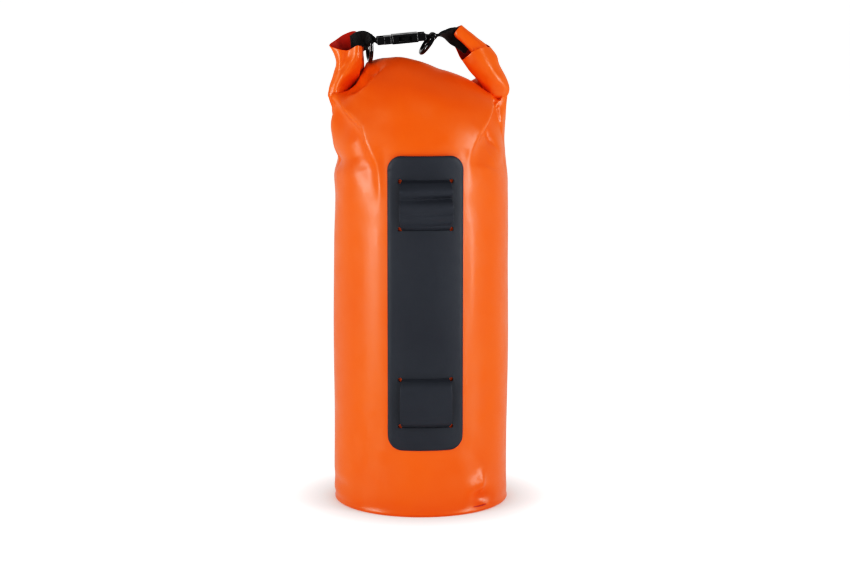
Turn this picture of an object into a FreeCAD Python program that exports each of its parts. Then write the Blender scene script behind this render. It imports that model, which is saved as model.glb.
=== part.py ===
"""Roll-top dry bag with a strap panel, a side-release buckle and two D-rings.

Millimetres. +Z is up and the bag stands on its base disc, whose underside is at z = 0. The strap
panel faces -Y. The mouth is rolled down behind the crown, and both ends of the roll are bent up at
the shoulder corners and clipped together over the top, which makes the carrying handle.
"""
import FreeCAD
import Part
import Sketcher
import math
import os
import re

from FreeCAD import Placement, Rotation, Vector

PARTS = "parts"
X_AXIS = Vector(1, 0, 0)
Y_AXIS = Vector(0, 1, 0)
Z_AXIS = Vector(0, 0, 1)

# Driving dimensions: (alias, value in mm or degrees, what it is)
SIZES = [
    ("body_radius", 90.0, "outside radius of the tube"),
    ("skin", 0.9, "thickness of the coated fabric"),
    ("shoulder_z", 371.0, "height where the tube stops being round"),
    ("base_thickness", 1.2, "thickness of the base disc"),
    ("base_flange", 6.0, "height of the base disc's welded flange"),
    ("seam_width", 20.0, "width of the seam tape up the back"),
    ("seam_thickness", 0.6, "thickness of the seam tape"),
    ("seam_foot", 8.0, "height where the seam tape starts"),
    ("seam_top", 335.0, "height where the seam tape ends"),
    ("panel_width", 76.0, "width of the strap panel"),
    ("panel_height", 298.0, "height of the strap panel"),
    ("panel_foot", 70.5, "height of the strap panel's lower edge"),
    ("panel_corner", 14.0, "corner radius of the strap panel"),
    ("panel_thickness", 2.6, "thickness of the strap panel"),
    ("pocket_depth", 1.4, "depth of the channel for the strap behind the panel"),
    ("pocket_margin", 14.0, "the channel stops this far inside the panel's ends"),
    ("loop_width", 48.0, "width of the strap that makes the two loops"),
    ("loop_thickness", 1.2, "thickness of that strap"),
    ("loop_height", 48.0, "distance between the two slits of a loop"),
    ("loop_inset", 24.5, "distance from the panel's end to the nearest slit"),
    ("slit_height", 2.4, "height of a slit"),
    ("relief_radius", 2.1, "radius of the relief hole at each end of a slit"),
    ("upper_bulge", 13.0, "how far the upper loop stands off the panel"),
    ("lower_bulge", 10.0, "how far the lower loop stands off the panel"),
    ("roll_height", 28.0, "height of the flat roll"),
    ("roll_thickness", 9.0, "thickness of the flat roll"),
    ("roll_bend", 121.0, "radius that the roll is bent to behind the crown"),
    ("roll_half_angle", 33.0, "half of the angle that the bent roll covers"),
    ("roll_lean", 52.0, "angle that the roll leans forward from upright"),
    ("roll_y", 43.0, "centre of the roll at the middle of the bag"),
    ("roll_z", 434.0, "height of the roll's centre"),
    ("end_thickness", 12.0, "thickness of a roll end"),
    ("slit_gap", 0.3, "clearance round the strap where it runs into a roll end"),
    ("strip_width", 20.0, "width of the mouth strip and the buckle straps"),
    ("webbing", 1.5, "thickness of one layer of webbing"),
    ("bar_radius", 1.8, "radius of the bar at each end of the buckle"),
    ("eye_gap", 0.15, "clearance of a webbing eye around its bar"),
    ("ring_wire", 1.9, "radius of a D-ring's section"),
    ("ring_half_width", 12.5, "half of a D-ring's width, to the middle of its section"),
    ("ring_leg", 7.0, "straight length of a D-ring's sides"),
    ("left_ring_x", -52.5, "place of the left D-ring's bar"),
    ("left_ring_z", 476.8, "height of the left D-ring's bar"),
    ("right_ring_x", 12.2, "place of the right D-ring's bar"),
    ("right_ring_z", 482.4, "height of the right D-ring's bar"),
    ("right_ring_turn", 35.0, "how far the right D-ring is swung to the left, in degrees"),
    ("buckle_x", -43.6, "place of the male half's bar"),
    ("buckle_z", 477.6, "height of the male half's bar"),
    ("buckle_slope", 5.4, "how far the buckle rises to the right, in degrees"),
    ("buckle_width", 28.0, "width of the buckle"),
    ("buckle_length", 46.0, "distance between the buckle's two bars"),
    ("male_block_start", 5.2, "where the male half's block starts, from its bar"),
    ("mouth_start", 13.6, "where the female half starts, from the male bar"),
    ("male_thickness", 8.0, "thickness of the male half's block"),
    ("female_thickness", 9.2, "thickness of the female half"),
    ("cavity_height", 5.0, "height of the female half's cavity"),
    ("cavity_width", 25.2, "width of the female half's cavity"),
    ("cavity_end", 36.0, "where the cavity ends, from the male bar"),
    ("window_start", 20.5, "where the side windows start, from the male bar"),
    ("window_end", 33.5, "where the side windows end, from the male bar"),
    ("housing_end", 40.5, "where the female half's housing ends, from the male bar"),
    ("prong_root", 15.0, "place of a prong's root, from the male bar"),
    ("prong_side", 8.4, "distance of a prong's root from the buckle's middle"),
    ("prong_root_radius", 1.6, "radius of a prong's root"),
    ("prong_height", 4.2, "height of a prong"),
    ("tongue_end", 31.0, "where the guide tongue ends, from the male bar"),
    ("tack_length", 2.0, "length of a bar tack along its strap"),
    ("tack_proud", 0.35, "how far a bar tack stands out of its strap"),
]

# Sections of the shoulder: (height, half width, half depth, centre x, centre y)
SHOULDER = [
    (371.0, 90.0, 90.0, 0.0, 0.0),
    (374.0, 90.0, 89.6, 0.0, 0.0),
    (386.0, 90.3, 84.0, 0.0, -1.0),
    (399.0, 90.0, 75.0, -1.0, -3.0),
    (412.0, 87.5, 63.0, -3.0, -6.0),
    (424.0, 79.0, 50.0, -9.0, -9.0),
    (438.0, 63.0, 35.0, -13.0, -12.0),
    (450.0, 42.0, 22.0, -22.0, -13.0),
    (460.0, 15.0, 9.0, -22.0, -14.0),
]

# Outlines of the two roll ends, seen from the front: (x, z), starting at the shoulder corner
LEFT_END = [(-93, 429), (-85, 438), (-79, 446), (-70, 453), (-59, 458), (-58, 461), (-69.2, 461.4),
            (-69.2, 486), (-78, 484), (-93, 474), (-88, 456), (-89, 446)]
RIGHT_END = [(90, 429), (87, 440), (80, 451), (78, 458), (69, 471), (64, 479), (46, 492), (39, 492),
             (36, 487), (35.5, 479), (38, 471), (43, 462), (44, 456), (54, 445), (64, 437), (80, 427)]

ALIASES = {alias for alias, _, _ in SIZES}
SPARE_CELL = "H1"

# Middle line of the strap between each roll end and its D-ring: (x, z, heading, turn from flat)
LEFT_RUN = [(-75, 472.5, 8, 90), (-68.5, 473.5, 10, 90), (-52.5, 476.8, 6, 0)]
RIGHT_RUN = [(12.2, 482.4, 4, 0), (19, 483, 3, 0), (34, 482, -20, 90), (47, 473, -38, 90)]

doc = FreeCAD.newDocument("dry_bag")
sheet = doc.addObject("Spreadsheet::Sheet", "sizes")
for row, (alias, value, meaning) in enumerate(SIZES, start=1):
    sheet.set(f"A{row}", alias)
    sheet.set(f"B{row}", str(value))
    sheet.set(f"C{row}", meaning)
    sheet.setAlias(f"B{row}", alias)
doc.recompute()


def size(alias):
    """The value of one cell of the sheet."""
    return float(sheet.get(alias))


def bind(item, **expressions):
    """Ties an object's properties to the sheet: every known alias in an expression is looked up there."""
    for name, expression in expressions.items():
        item.setExpression(name, linked(expression))
    return item


def linked(expression):
    """The expression with every known alias pointed at its cell in the sheet."""
    return re.sub(r"[a-z]\w*", lambda word: f"sizes.{word[0]}" if word[0] in ALIASES else word[0], expression)


def box(name, length, width, height, corner, turn=None):
    """A Part box with its own corner at a point, its sizes given as expressions."""
    item = doc.addObject("Part::Box", name)
    bind(item, Length=length, Width=width, Height=height)
    item.Placement = Placement(Vector(*corner), turn or Rotation())
    return item


def cylinder(name, radius, height, start, direction=Z_AXIS):
    """A Part cylinder from a start point along a direction, its sizes given as expressions."""
    item = doc.addObject("Part::Cylinder", name)
    bind(item, Radius=radius, Height=height)
    item.Placement = Placement(Vector(*start), Rotation(Z_AXIS, direction))
    return item


def fuse(name, items):
    item = doc.addObject("Part::MultiFuse", name)
    item.Shapes = items
    return item


def common(name, items):
    item = doc.addObject("Part::MultiCommon", name)
    item.Shapes = items
    return item


def cut(name, base, tools):
    """Base with every tool taken out of it."""
    tool = tools[0] if len(tools) == 1 else fuse(name + "_tools", tools)
    item = doc.addObject("Part::Cut", name)
    item.Base, item.Tool = base, tool
    return item


def feature(name, shape):
    item = doc.addObject("Part::Feature", name)
    item.Shape = shape
    return item


def new_body(name, place=None):
    body = doc.addObject("PartDesign::Body", name)
    if place is not None:
        body.Placement = place
    return body


def new_sketch(body, name, role):
    """A sketch on one of the body's own origin planes."""
    drawing = body.newObject("Sketcher::SketchObject", name)
    plane = [f for f in body.Origin.OriginFeatures if f.Role == role][0]
    drawing.AttachmentSupport = (plane, [""])
    drawing.MapMode = "FlatFace"
    return drawing


def draw_rectangle(drawing, left, right, low, high):
    """A rectangle whose four sides are tied to the sheet. Each side is an expression."""
    x0, x1, y0, y1 = (value_of(side) for side in (left, right, low, high))
    corners = [Vector(x0, y0), Vector(x1, y0), Vector(x1, y1), Vector(x0, y1)]
    first = drawing.GeometryCount
    for n in range(4):
        drawing.addGeometry(Part.LineSegment(corners[n], corners[(n + 1) % 4]), False)
    for n in range(4):
        drawing.addConstraint(Sketcher.Constraint("Coincident", first + n, 2, first + (n + 1) % 4, 1))
    for n, kind in enumerate(("Horizontal", "Vertical", "Horizontal", "Vertical")):
        drawing.addConstraint(Sketcher.Constraint(kind, first + n))
    for kind, point, value, expression in (
        ("DistanceX", (first, 1), x0, left),
        ("DistanceX", (first + 1, 1), x1, right),
        ("DistanceY", (first, 1), y0, low),
        ("DistanceY", (first + 2, 1), y1, high),
    ):
        index = drawing.addConstraint(Sketcher.Constraint(kind, -1, 1, *point, value))
        bind(drawing, **{f"Constraints[{index}]": expression})
    return drawing


def draw_circle(drawing, centre_x, centre_y, radius):
    """A circle whose centre and radius are tied to the sheet."""
    x, y, r = (value_of(part) for part in (centre_x, centre_y, radius))
    ring = drawing.addGeometry(Part.Circle(Vector(x, y), Z_AXIS, r), False)
    for kind, value, expression in (("DistanceX", x, centre_x), ("DistanceY", y, centre_y)):
        index = drawing.addConstraint(Sketcher.Constraint(kind, -1, 1, ring, 3, value))
        bind(drawing, **{f"Constraints[{index}]": expression})
    index = drawing.addConstraint(Sketcher.Constraint("Radius", ring, r))
    bind(drawing, **{f"Constraints[{index}]": radius})
    return drawing


def draw_outline(drawing, points):
    """A closed outline through points, joined end to end."""
    first = drawing.GeometryCount
    count = len(points)
    for n in range(count):
        ends = Vector(*points[n]), Vector(*points[(n + 1) % count])
        drawing.addGeometry(Part.LineSegment(*ends), False)
    for n in range(count):
        drawing.addConstraint(Sketcher.Constraint("Coincident", first + n, 2, first + (n + 1) % count, 1))
    return drawing


def value_of(expression):
    """The value of an expression in the sheet's aliases, worked out in a spare cell."""
    sheet.set(SPARE_CELL, "=" + expression)
    sheet.recompute()
    return float(sheet.get(SPARE_CELL))


def pad(body, drawing, length, name, both_ways=True):
    item = body.newObject("PartDesign::Pad", name)
    item.Profile = drawing
    item.Midplane = both_ways
    bind(item, Length=length)
    return item


def pocket(body, drawing, length, name):
    """Cuts the drawing out of the body, the same way to both sides of its plane."""
    item = body.newObject("PartDesign::Pocket", name)
    item.Profile = drawing
    item.Midplane = True
    bind(item, Length=length)
    return item


def revolution(body, drawing, angle, name):
    """Turns the drawing about the vertical axis, half of the angle to each side."""
    item = body.newObject("PartDesign::Revolution", name)
    item.Profile = drawing
    item.ReferenceAxis = (drawing, ["V_Axis"])
    item.Midplane = True
    bind(item, Angle=angle)
    return item


def fillet_edges(body, base, radius, name, wanted):
    """Rounds the edges of the base feature that wanted(edge) picks."""
    doc.recompute()
    names = [f"Edge{n}" for n, edge in enumerate(base.Shape.Edges, start=1) if wanted(edge)]
    item = body.newObject("PartDesign::Fillet", name)
    item.Base = (base, names)
    item.Radius = radius
    doc.recompute()
    return item


def loft(name, sections):
    item = doc.addObject("Part::Loft", name)
    item.Sections = sections
    item.Solid = True
    item.Ruled = False
    return item


def shoulder_section(name, height, half_width, half_depth, centre_x, centre_y, inset):
    """One level ellipse of the shoulder, drawn in by an inset."""
    item = doc.addObject("Part::Ellipse", name)
    item.MajorRadius = half_width - inset
    item.MinorRadius = half_depth - inset
    item.Placement = Placement(Vector(centre_x, centre_y, height), Rotation())
    return item


def make_body_tube():
    """The coated-fabric tube and the crown that it closes into, open at the foot for the base disc."""
    skins = []
    for name, inset in (("outside", 0.0), ("inside", size("skin"))):
        foot = "base_thickness" if inset == 0.0 else "base_thickness - 1"
        start = size("base_thickness") - (0.0 if inset == 0.0 else 1.0)
        wall = cylinder(f"tube_{name}", f"body_radius - {inset}", f"shoulder_z - ({foot})", (0, 0, start))
        levels = []
        for n, (height, *shape) in enumerate(SHOULDER):
            top = n == len(SHOULDER) - 1
            level = height - inset if top else height
            levels.append(shoulder_section(f"{name}_level_{n}", level, *shape, inset))
        skins.append(fuse(f"skin_{name}", [wall, loft(f"shoulder_{name}", levels)]))
    tube = cut("body_tube", skins[0], [skins[1]])
    return tube


def make_base_disc():
    """Round base with a flange that is welded up inside the tube."""
    body = new_body("base_disc")
    drawing = new_sketch(body, "base_section", "XZ_Plane")
    outer, inner = size("body_radius"), size("body_radius") - size("skin")
    thick, flange = size("base_thickness"), size("base_flange")
    points = [(0, 0), (outer, 0), (outer, thick), (inner, thick), (inner, flange),
              (inner - size("skin"), flange), (inner - size("skin"), thick), (0, thick)]
    draw_outline(drawing, points)
    tie_outline(drawing, [
        ("body_radius", "0"), ("body_radius", "base_thickness"),
        ("body_radius - skin", "base_thickness"), ("body_radius - skin", "base_flange"),
        ("body_radius - 2 * skin", "base_flange"), ("body_radius - 2 * skin", "base_thickness"),
        ("0", "base_thickness"),
    ])
    item = body.newObject("PartDesign::Revolution", "base_turned")
    item.Profile = drawing
    item.ReferenceAxis = (drawing, ["V_Axis"])
    item.Angle = 360
    return body


def tie_outline(drawing, places, first=1):
    """Ties the corners of an outline, from corner number first on, to expressions (x, y)."""
    for n, pair in enumerate(places, start=first):
        for kind, expression in zip(("DistanceX", "DistanceY"), pair):
            index = drawing.addConstraint(Sketcher.Constraint(kind, -1, 1, n, 1, value_of(expression)))
            bind(drawing, **{f"Constraints[{index}]": expression})


def curved_strip(name, inner, outer, foot, top, width):
    """A strip wrapped round the tube at the front: a rectangle turned about the tube's axis.

    The strip is made at +X and then turned to face -Y."""
    body = new_body(name, Placement(Vector(), Rotation(Z_AXIS, -90)))
    drawing = new_sketch(body, name + "_section", "XZ_Plane")
    draw_rectangle(drawing, inner, outer, foot, top)
    revolution(body, drawing, f"2 * asin(({width}) / 2 / ({outer}))", name + "_turned")
    return body


def make_back_seam():
    seam = curved_strip("back_seam_tape", "body_radius", "body_radius + seam_thickness",
                        "seam_foot", "seam_top", "seam_width")
    seam.Placement = Placement(Vector(), Rotation(Z_AXIS, 90))
    return seam


def rounded_plate(name, width, height, corner, depth, foot):
    """A plate in the XZ plane with rounded corners, as a cutter for curved strips."""
    plate = box(name + "_plate", width, depth, height, (0, 0, 0))
    half = value_of(width) / 2
    plate.Placement = Placement(Vector(-half, -value_of(depth) - 40, value_of(foot)), Rotation())
    doc.recompute()
    edges = [n for n, e in enumerate(plate.Shape.Edges, start=1)
             if abs(e.tangentAt(e.FirstParameter).dot(Y_AXIS)) > 0.99]
    item = doc.addObject("Part::Fillet", name)
    item.Base = plate
    item.Edges = [(n, value_of(corner), value_of(corner)) for n in edges]
    return item


def slit_heights():
    """Heights of the middles of the four slits, from the lowest."""
    foot = size("panel_foot") + size("loop_inset")
    top = size("panel_foot") + size("panel_height") - size("loop_inset")
    return [foot, foot + size("loop_height"), top - size("loop_height"), top]


def make_mount_panel():
    """The black panel on the front, with a channel behind it, four slits and eight relief holes."""
    blank = curved_strip("panel_blank", "body_radius", "body_radius + panel_thickness",
                         "panel_foot", "panel_foot + panel_height", "panel_width + 6")
    outline = rounded_plate("panel_outline", "panel_width", "panel_height", "panel_corner",
                            "body_radius", "panel_foot")
    plate = common("panel_plate", [blank, outline])
    channel = curved_strip("panel_channel", "body_radius - 1", "body_radius + pocket_depth",
                           "panel_foot + pocket_margin", "panel_foot + panel_height - pocket_margin",
                           "loop_width + 2")
    tools = [channel]
    half = size("loop_width") / 2
    for n, height in enumerate(slit_heights()):
        corner = (-half - 1, -size("body_radius") - 10, height - size("slit_height") / 2)
        tools.append(box(f"slit_{n}", "loop_width + 2", "20", "slit_height", corner))
        for side in (-1, 1):
            start = (side * (half + 1.6), -size("body_radius") - 10, height)
            tools.append(cylinder(f"relief_{n}_{side + 1}", "relief_radius", "30", start, Y_AXIS))
    return cut("mount_panel", plate, tools)


def make_loop(name, low, high, bulge):
    """One strap loop: out through a slit, down over the panel and in through the next slit.

    The section is drawn at +X, outwards from the channel behind the panel, and turned to face -Y."""
    thick = size("loop_thickness")
    inside = size("body_radius") + 0.1
    face = size("body_radius") + size("panel_thickness")
    crest = face + size(bulge)
    shoulder = 0.62
    outer = [(inside, low - thick / 2), (face + 0.5, low - thick / 2)]
    outer += arch_points(face, crest, low - thick / 2, high + thick / 2, shoulder)
    outer += [(face + 0.5, high + thick / 2), (inside, high + thick / 2)]
    inner = [(inside, high - thick / 2), (face + 0.5, high - thick / 2)]
    inner += reversed(arch_points(face, crest - thick, low + thick / 2, high - thick / 2, shoulder))
    inner += [(face + 0.5, low + thick / 2), (inside, low + thick / 2)]
    body = new_body(name, Placement(Vector(), Rotation(Z_AXIS, -90)))
    drawing = new_sketch(body, name + "_section", "XZ_Plane")
    draw_outline(drawing, outer + inner)
    revolution(body, drawing, "2 * asin(loop_width / 2 / (body_radius + panel_thickness))",
               name + "_turned")
    return body


def arch_points(face, crest, low, high, shoulder, count=9):
    """Points of a loop's arch, as a superellipse between its two slits."""
    middle, half = (low + high) / 2, (high - low) / 2
    points = []
    for n in range(1, count):
        turn = math.pi * n / count
        across = math.copysign(abs(math.cos(turn)) ** shoulder, -math.cos(turn))
        out = math.sin(turn) ** shoulder
        points.append((face + 0.5 + (crest - face - 0.5) * out, middle + half * across))
    return points


def make_strap_behind_panel():
    """The strap's hidden stretches in the channel: between the loops, and its two tails."""
    low, loop_low, loop_high, high = slit_heights()
    gap = size("slit_height") / 2
    inner, outer = "body_radius + 0.1", "body_radius + 0.1 + loop_thickness"
    ends = size("panel_foot") + size("pocket_margin") + 1
    top = size("panel_foot") + size("panel_height") - size("pocket_margin") - 1
    stretches = [
        ("strap_behind_panel", loop_low + gap, loop_high - gap),
        ("strap_lower_tail", ends, low - gap),
        ("strap_upper_tail", high + gap, top),
    ]
    return [curved_strip(name, inner, outer, str(foot), str(head), "loop_width")
            for name, foot, head in stretches]


def make_roll_middle():
    """The rolled mouth behind the crown: a flattened tube bent round the back, with the strip inside."""
    nodes = []
    lean = size("roll_lean")
    for name, height, thick, bore in (
        ("roll_middle", "roll_height", "roll_thickness", True),
        ("mouth_strip", "strip_width", "webbing", False),
    ):
        body = new_body(name)
        place = Vector(0, size("roll_y") - size("roll_bend"), size("roll_z"))
        body.Placement = Placement(place, Rotation(Z_AXIS, 90))
        drawing = new_sketch(body, name + "_section", "XZ_Plane")
        centre = size("roll_bend")
        draw_outline(drawing, stadium(centre, 0, size(height), size(thick), lean))
        if bore:
            hollow = size("webbing") + 2.4
            draw_outline(drawing, stadium(centre, 0, size(height) - 4, hollow, lean))
        revolution(body, drawing, "2 * roll_half_angle" if bore else "2 * roll_half_angle - 4",
                   name + "_turned")
        nodes.append(body)
    return nodes


def stadium(centre_x, centre_y, height, thick, lean, count=4):
    """Corner points of a flat rounded bar, leaning back by an angle from upright."""
    half, radius = height / 2 - thick / 2, thick / 2
    points = []
    for side in (1, -1):
        for n in range(count + 1):
            turn = math.radians(180 * n / count) + (0 if side > 0 else math.pi)
            points.append((radius * math.cos(turn), side * half + radius * math.sin(turn)))
    tilt = math.radians(lean)
    return [(centre_x + x * math.cos(tilt) - y * math.sin(tilt),
             centre_y + x * math.sin(tilt) + y * math.cos(tilt)) for x, y in points]


def make_roll_end(name, outline, root):
    """One end of the roll, bent up at the shoulder corner, with a slit between its layers for the strap."""
    body = new_body(name + "_layers")
    drawing = new_sketch(body, name + "_outline", "XZ_Plane")
    draw_outline(drawing, outline)
    base = pad(body, drawing, "end_thickness", name + "_pad")

    def runs_round(edge):
        half = size("end_thickness") / 2
        return all(abs(abs(v.Point.y) - half) < 0.01 for v in edge.Vertexes)

    fillet_edges(body, base, 1.2, name + "_rounding", runs_round)
    inner, outer = root
    along = Vector(outer[0] - inner[0], 0, outer[1] - inner[1])
    turn = Rotation(Y_AXIS, -math.degrees(math.atan2(along.z, along.x)))
    slit = box(name + "_slit", "41", "2 * webbing + 2 * slit_gap", "strip_width + 2 * slit_gap", (0, 0, 0))
    corner = Vector(-1, -size("webbing") - size("slit_gap"), -size("strip_width") / 2 - size("slit_gap"))
    slit.Placement = Placement(Vector(inner[0], 0, inner[1]) + turn.multVec(corner), turn)
    return cut(name, body, [slit])


def buckle_place():
    """Where the buckle's own frame lies: origin at the male bar, X along the buckle."""
    spot = Vector(size("buckle_x"), 0, size("buckle_z"))
    return Placement(spot, Rotation(Y_AXIS, -size("buckle_slope")))


def along_buckle(distance):
    """A point on the buckle's middle line, in the bag's frame."""
    return buckle_place().multVec(Vector(distance, 0, 0))


def eye(name, centre, bar, half_width="strip_width / 2"):
    """A webbing eye along Y: its outer cylinder and its bore."""
    half = value_of(half_width)
    start = (centre.x, -half, centre.z)
    outer = cylinder(name + "_eye", f"{bar} + eye_gap + webbing", "strip_width", start, Y_AXIS)
    bore_start = (centre.x, -half - 1, centre.z)
    bore = cylinder(name + "_bore", f"{bar} + eye_gap", "strip_width + 2", bore_start, Y_AXIS)
    return outer, bore


def run(name, start, end, layers=2):
    """A straight flat stretch of strap between two points of the XZ plane."""
    along = end - start
    turn = Rotation(Y_AXIS, -math.degrees(math.atan2(along.z, along.x)))
    item = doc.addObject("Part::Box", name)
    item.Length = along.Length
    bind(item, Width="strip_width", Height=f"{layers} * webbing")
    corner = start + turn.multVec(Vector(0, -size("strip_width") / 2, -layers * size("webbing") / 2))
    item.Placement = Placement(corner, turn)
    return item


def ribbon(name, stations, steps=4):
    """A strap in one piece through stations of the XZ plane, turning over as it goes.

    A station is (x, z, heading, turn): the strap's direction above level, and how far its width is
    turned from level, so that 0 is flat and 90 is on its edge."""
    wires = []
    half_width, half_thick = size("strip_width") / 2, size("webbing")
    for first, last in zip(stations, stations[1:]):
        count = steps if first[3] != last[3] else 1
        for n in range(1 if wires else 0, count + 1):
            x, z, heading, turn = (a + (b - a) * n / count for a, b in zip(first, last))
            along = Vector(math.cos(math.radians(heading)), 0, math.sin(math.radians(heading)))
            tilt = Rotation(along, turn)
            wide = tilt.multVec(Y_AXIS) * half_width
            thin = tilt.multVec(along.cross(Y_AXIS)) * half_thick
            spot = Vector(x, 0, z)
            corners = [spot + wide + thin, spot - wide + thin, spot - wide - thin, spot + wide - thin]
            wires.append(Part.makePolygon(corners + [corners[0]]))
    return feature(name, Part.makeLoft(wires, True, True))


def make_left_strap():
    """Webbing from inside the left roll end, turned flat, with an eye for the D-ring and one for the bar."""
    ring = Vector(size("left_ring_x"), 0, size("left_ring_z"))
    bar = along_buckle(0)
    ring_eye, ring_bore = eye("left_ring", ring, "ring_wire")
    bar_eye, bar_bore = eye("male", bar, "bar_radius")
    pieces = [ring_eye, bar_eye, run("left_run", ring, bar), ribbon("left_ribbon", LEFT_RUN)]
    return cut("left_strap", fuse("left_strap_blank", pieces), [ring_bore, bar_bore])


def make_right_strap():
    """Webbing from the female half's bar past the D-ring, turned on its edge into the right roll end."""
    ring = Vector(size("right_ring_x"), 0, size("right_ring_z"))
    bar = along_buckle(size("buckle_length"))
    ring_eye, ring_bore = eye("right_ring", ring, "ring_wire")
    bar_eye, bar_bore = eye("female", bar, "bar_radius")
    pieces = [ring_eye, bar_eye, run("right_run", bar, ring), ribbon("right_ribbon", RIGHT_RUN)]
    return cut("right_strap", fuse("right_strap_blank", pieces), [ring_bore, bar_bore])


def make_bar_tacks(name, places):
    """Rows of bar-tack stitching that stand a little out of a strap, on both faces.

    A place is (start of the run, end of the run, share of the way along it)."""
    rows = []
    for number, (start, end, share) in enumerate(places):
        along = end - start
        turn = Rotation(Y_AXIS, -math.degrees(math.atan2(along.z, along.x)))
        middle = start + along * share
        for side in (-1, 1):
            out = size("webbing") if side > 0 else -size("webbing") - size("tack_proud")
            corner = Vector(-size("tack_length") / 2, -size("strip_width") / 2 + 1.5, out)
            row = box(f"{name}_{number}_{side + 1}", "tack_length", "strip_width - 3", "tack_proud",
                      middle + turn.multVec(corner), turn)
            rows.append(row)
    return fuse(name, rows)


def make_d_ring(name, place):
    """A moulded D-ring: a straight bar along Y, two legs and a half circle below."""
    half, leg, wire = size("ring_half_width"), size("ring_leg"), size("ring_wire")
    pieces = [cylinder(name + "_bar", "ring_wire", "2 * ring_half_width", (0, -half, 0), Y_AXIS)]
    for side in (-1, 1):
        corner = doc.addObject("Part::Sphere", f"{name}_corner_{side + 1}")
        bind(corner, Radius="ring_wire")
        corner.Placement = Placement(Vector(0, side * half, 0), Rotation())
        side_leg = cylinder(f"{name}_leg_{side + 1}", "ring_wire", "ring_leg", (0, side * half, -leg))
        pieces += [corner, side_leg]
    bow = doc.addObject("Part::Torus", name + "_bow")
    bind(bow, Radius1="ring_half_width", Radius2="ring_wire")
    bow.Angle3 = 180
    bow.Placement = Placement(Vector(0, 0, -leg), Rotation(Y_AXIS, Z_AXIS.negative(), X_AXIS.negative(), "XYZ"))
    pieces.append(bow)
    ring = fuse(name, pieces)
    ring.Placement = place
    return ring


def upright(edge):
    """True for an edge of the buckle that runs across its thickness."""
    ends = [v.Point for v in edge.Vertexes]
    return len(ends) == 2 and abs(ends[0].x - ends[1].x) < 0.01 and abs(ends[0].y - ends[1].y) < 0.01


def make_buckle_male():
    """The male half: bar, side arms, block and guide tongue. The prongs are pieces of their own."""
    place = buckle_place()
    body = new_body("male_block", place)
    drawing = new_sketch(body, "male_outline", "XY_Plane")
    draw_rectangle(drawing, "male_block_start", "mouth_start - 0.3", "- buckle_width / 2", "buckle_width / 2")
    block = pad(body, drawing, "male_thickness", "male_pad")
    fillet_edges(body, block, 1.6, "male_rounding", upright)
    pieces = [body]
    for side in (-1, 1):
        low = 10.6 if side > 0 else -13.2
        arm = box(f"male_arm_{side + 1}", "male_block_start + 1.8", "2.6", "5.2", (0, 0, 0))
        arm.Placement = place.multiply(Placement(Vector(-1.8, low, -2.6), Rotation()))
        pieces.append(arm)
    bar = cylinder("male_bar", "bar_radius", "24", (0, 0, 0), Y_AXIS)
    bar.Placement = place.multiply(Placement(Vector(0, -12, 0), Rotation(Z_AXIS, Y_AXIS)))
    tongue = box("male_tongue", "tongue_end - mouth_start + 1", "6", "3.4", (0, 0, 0))
    tongue.Placement = place.multiply(Placement(Vector(size("mouth_start") - 1, -3, -1.7), Rotation()))
    return fuse("buckle_male", [*pieces, bar, tongue])


def make_prong(name, side):
    """One springy prong with its press pad. Its round root turns in the male half's face."""
    body = new_body(name, buckle_place())
    drawing = new_sketch(body, name + "_outline", "XY_Plane")
    root, off = size("prong_root"), size("prong_side")
    outline = [(root, off - 1.3), (22.5, off - 1.3), (24.5, off - 0.9), (31.8, off - 0.9), (33.6, off + 0.6),
               (32.8, off + 3.0), (30.4, off + 3.8), (23.6, off + 3.8), (21.6, off + 1.3), (root, off + 1.3)]
    draw_outline(drawing, [(x, side * y) for x, y in outline])
    blade = pad(body, drawing, "prong_height", name + "_blade")
    rounded = fillet_edges(body, blade, 0.5, name + "_rounding",
                           lambda e: upright(e) and e.Vertexes[0].X > root + 1)
    body.Tip = rounded
    knuckle = cylinder(name + "_root", "prong_root_radius", "prong_height", (0, 0, 0))
    spot = Placement(Vector(root, side * off, -size("prong_height") / 2), Rotation())
    knuckle.Placement = buckle_place().multiply(spot)
    return fuse(name + "_piece", [body, knuckle])


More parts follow.
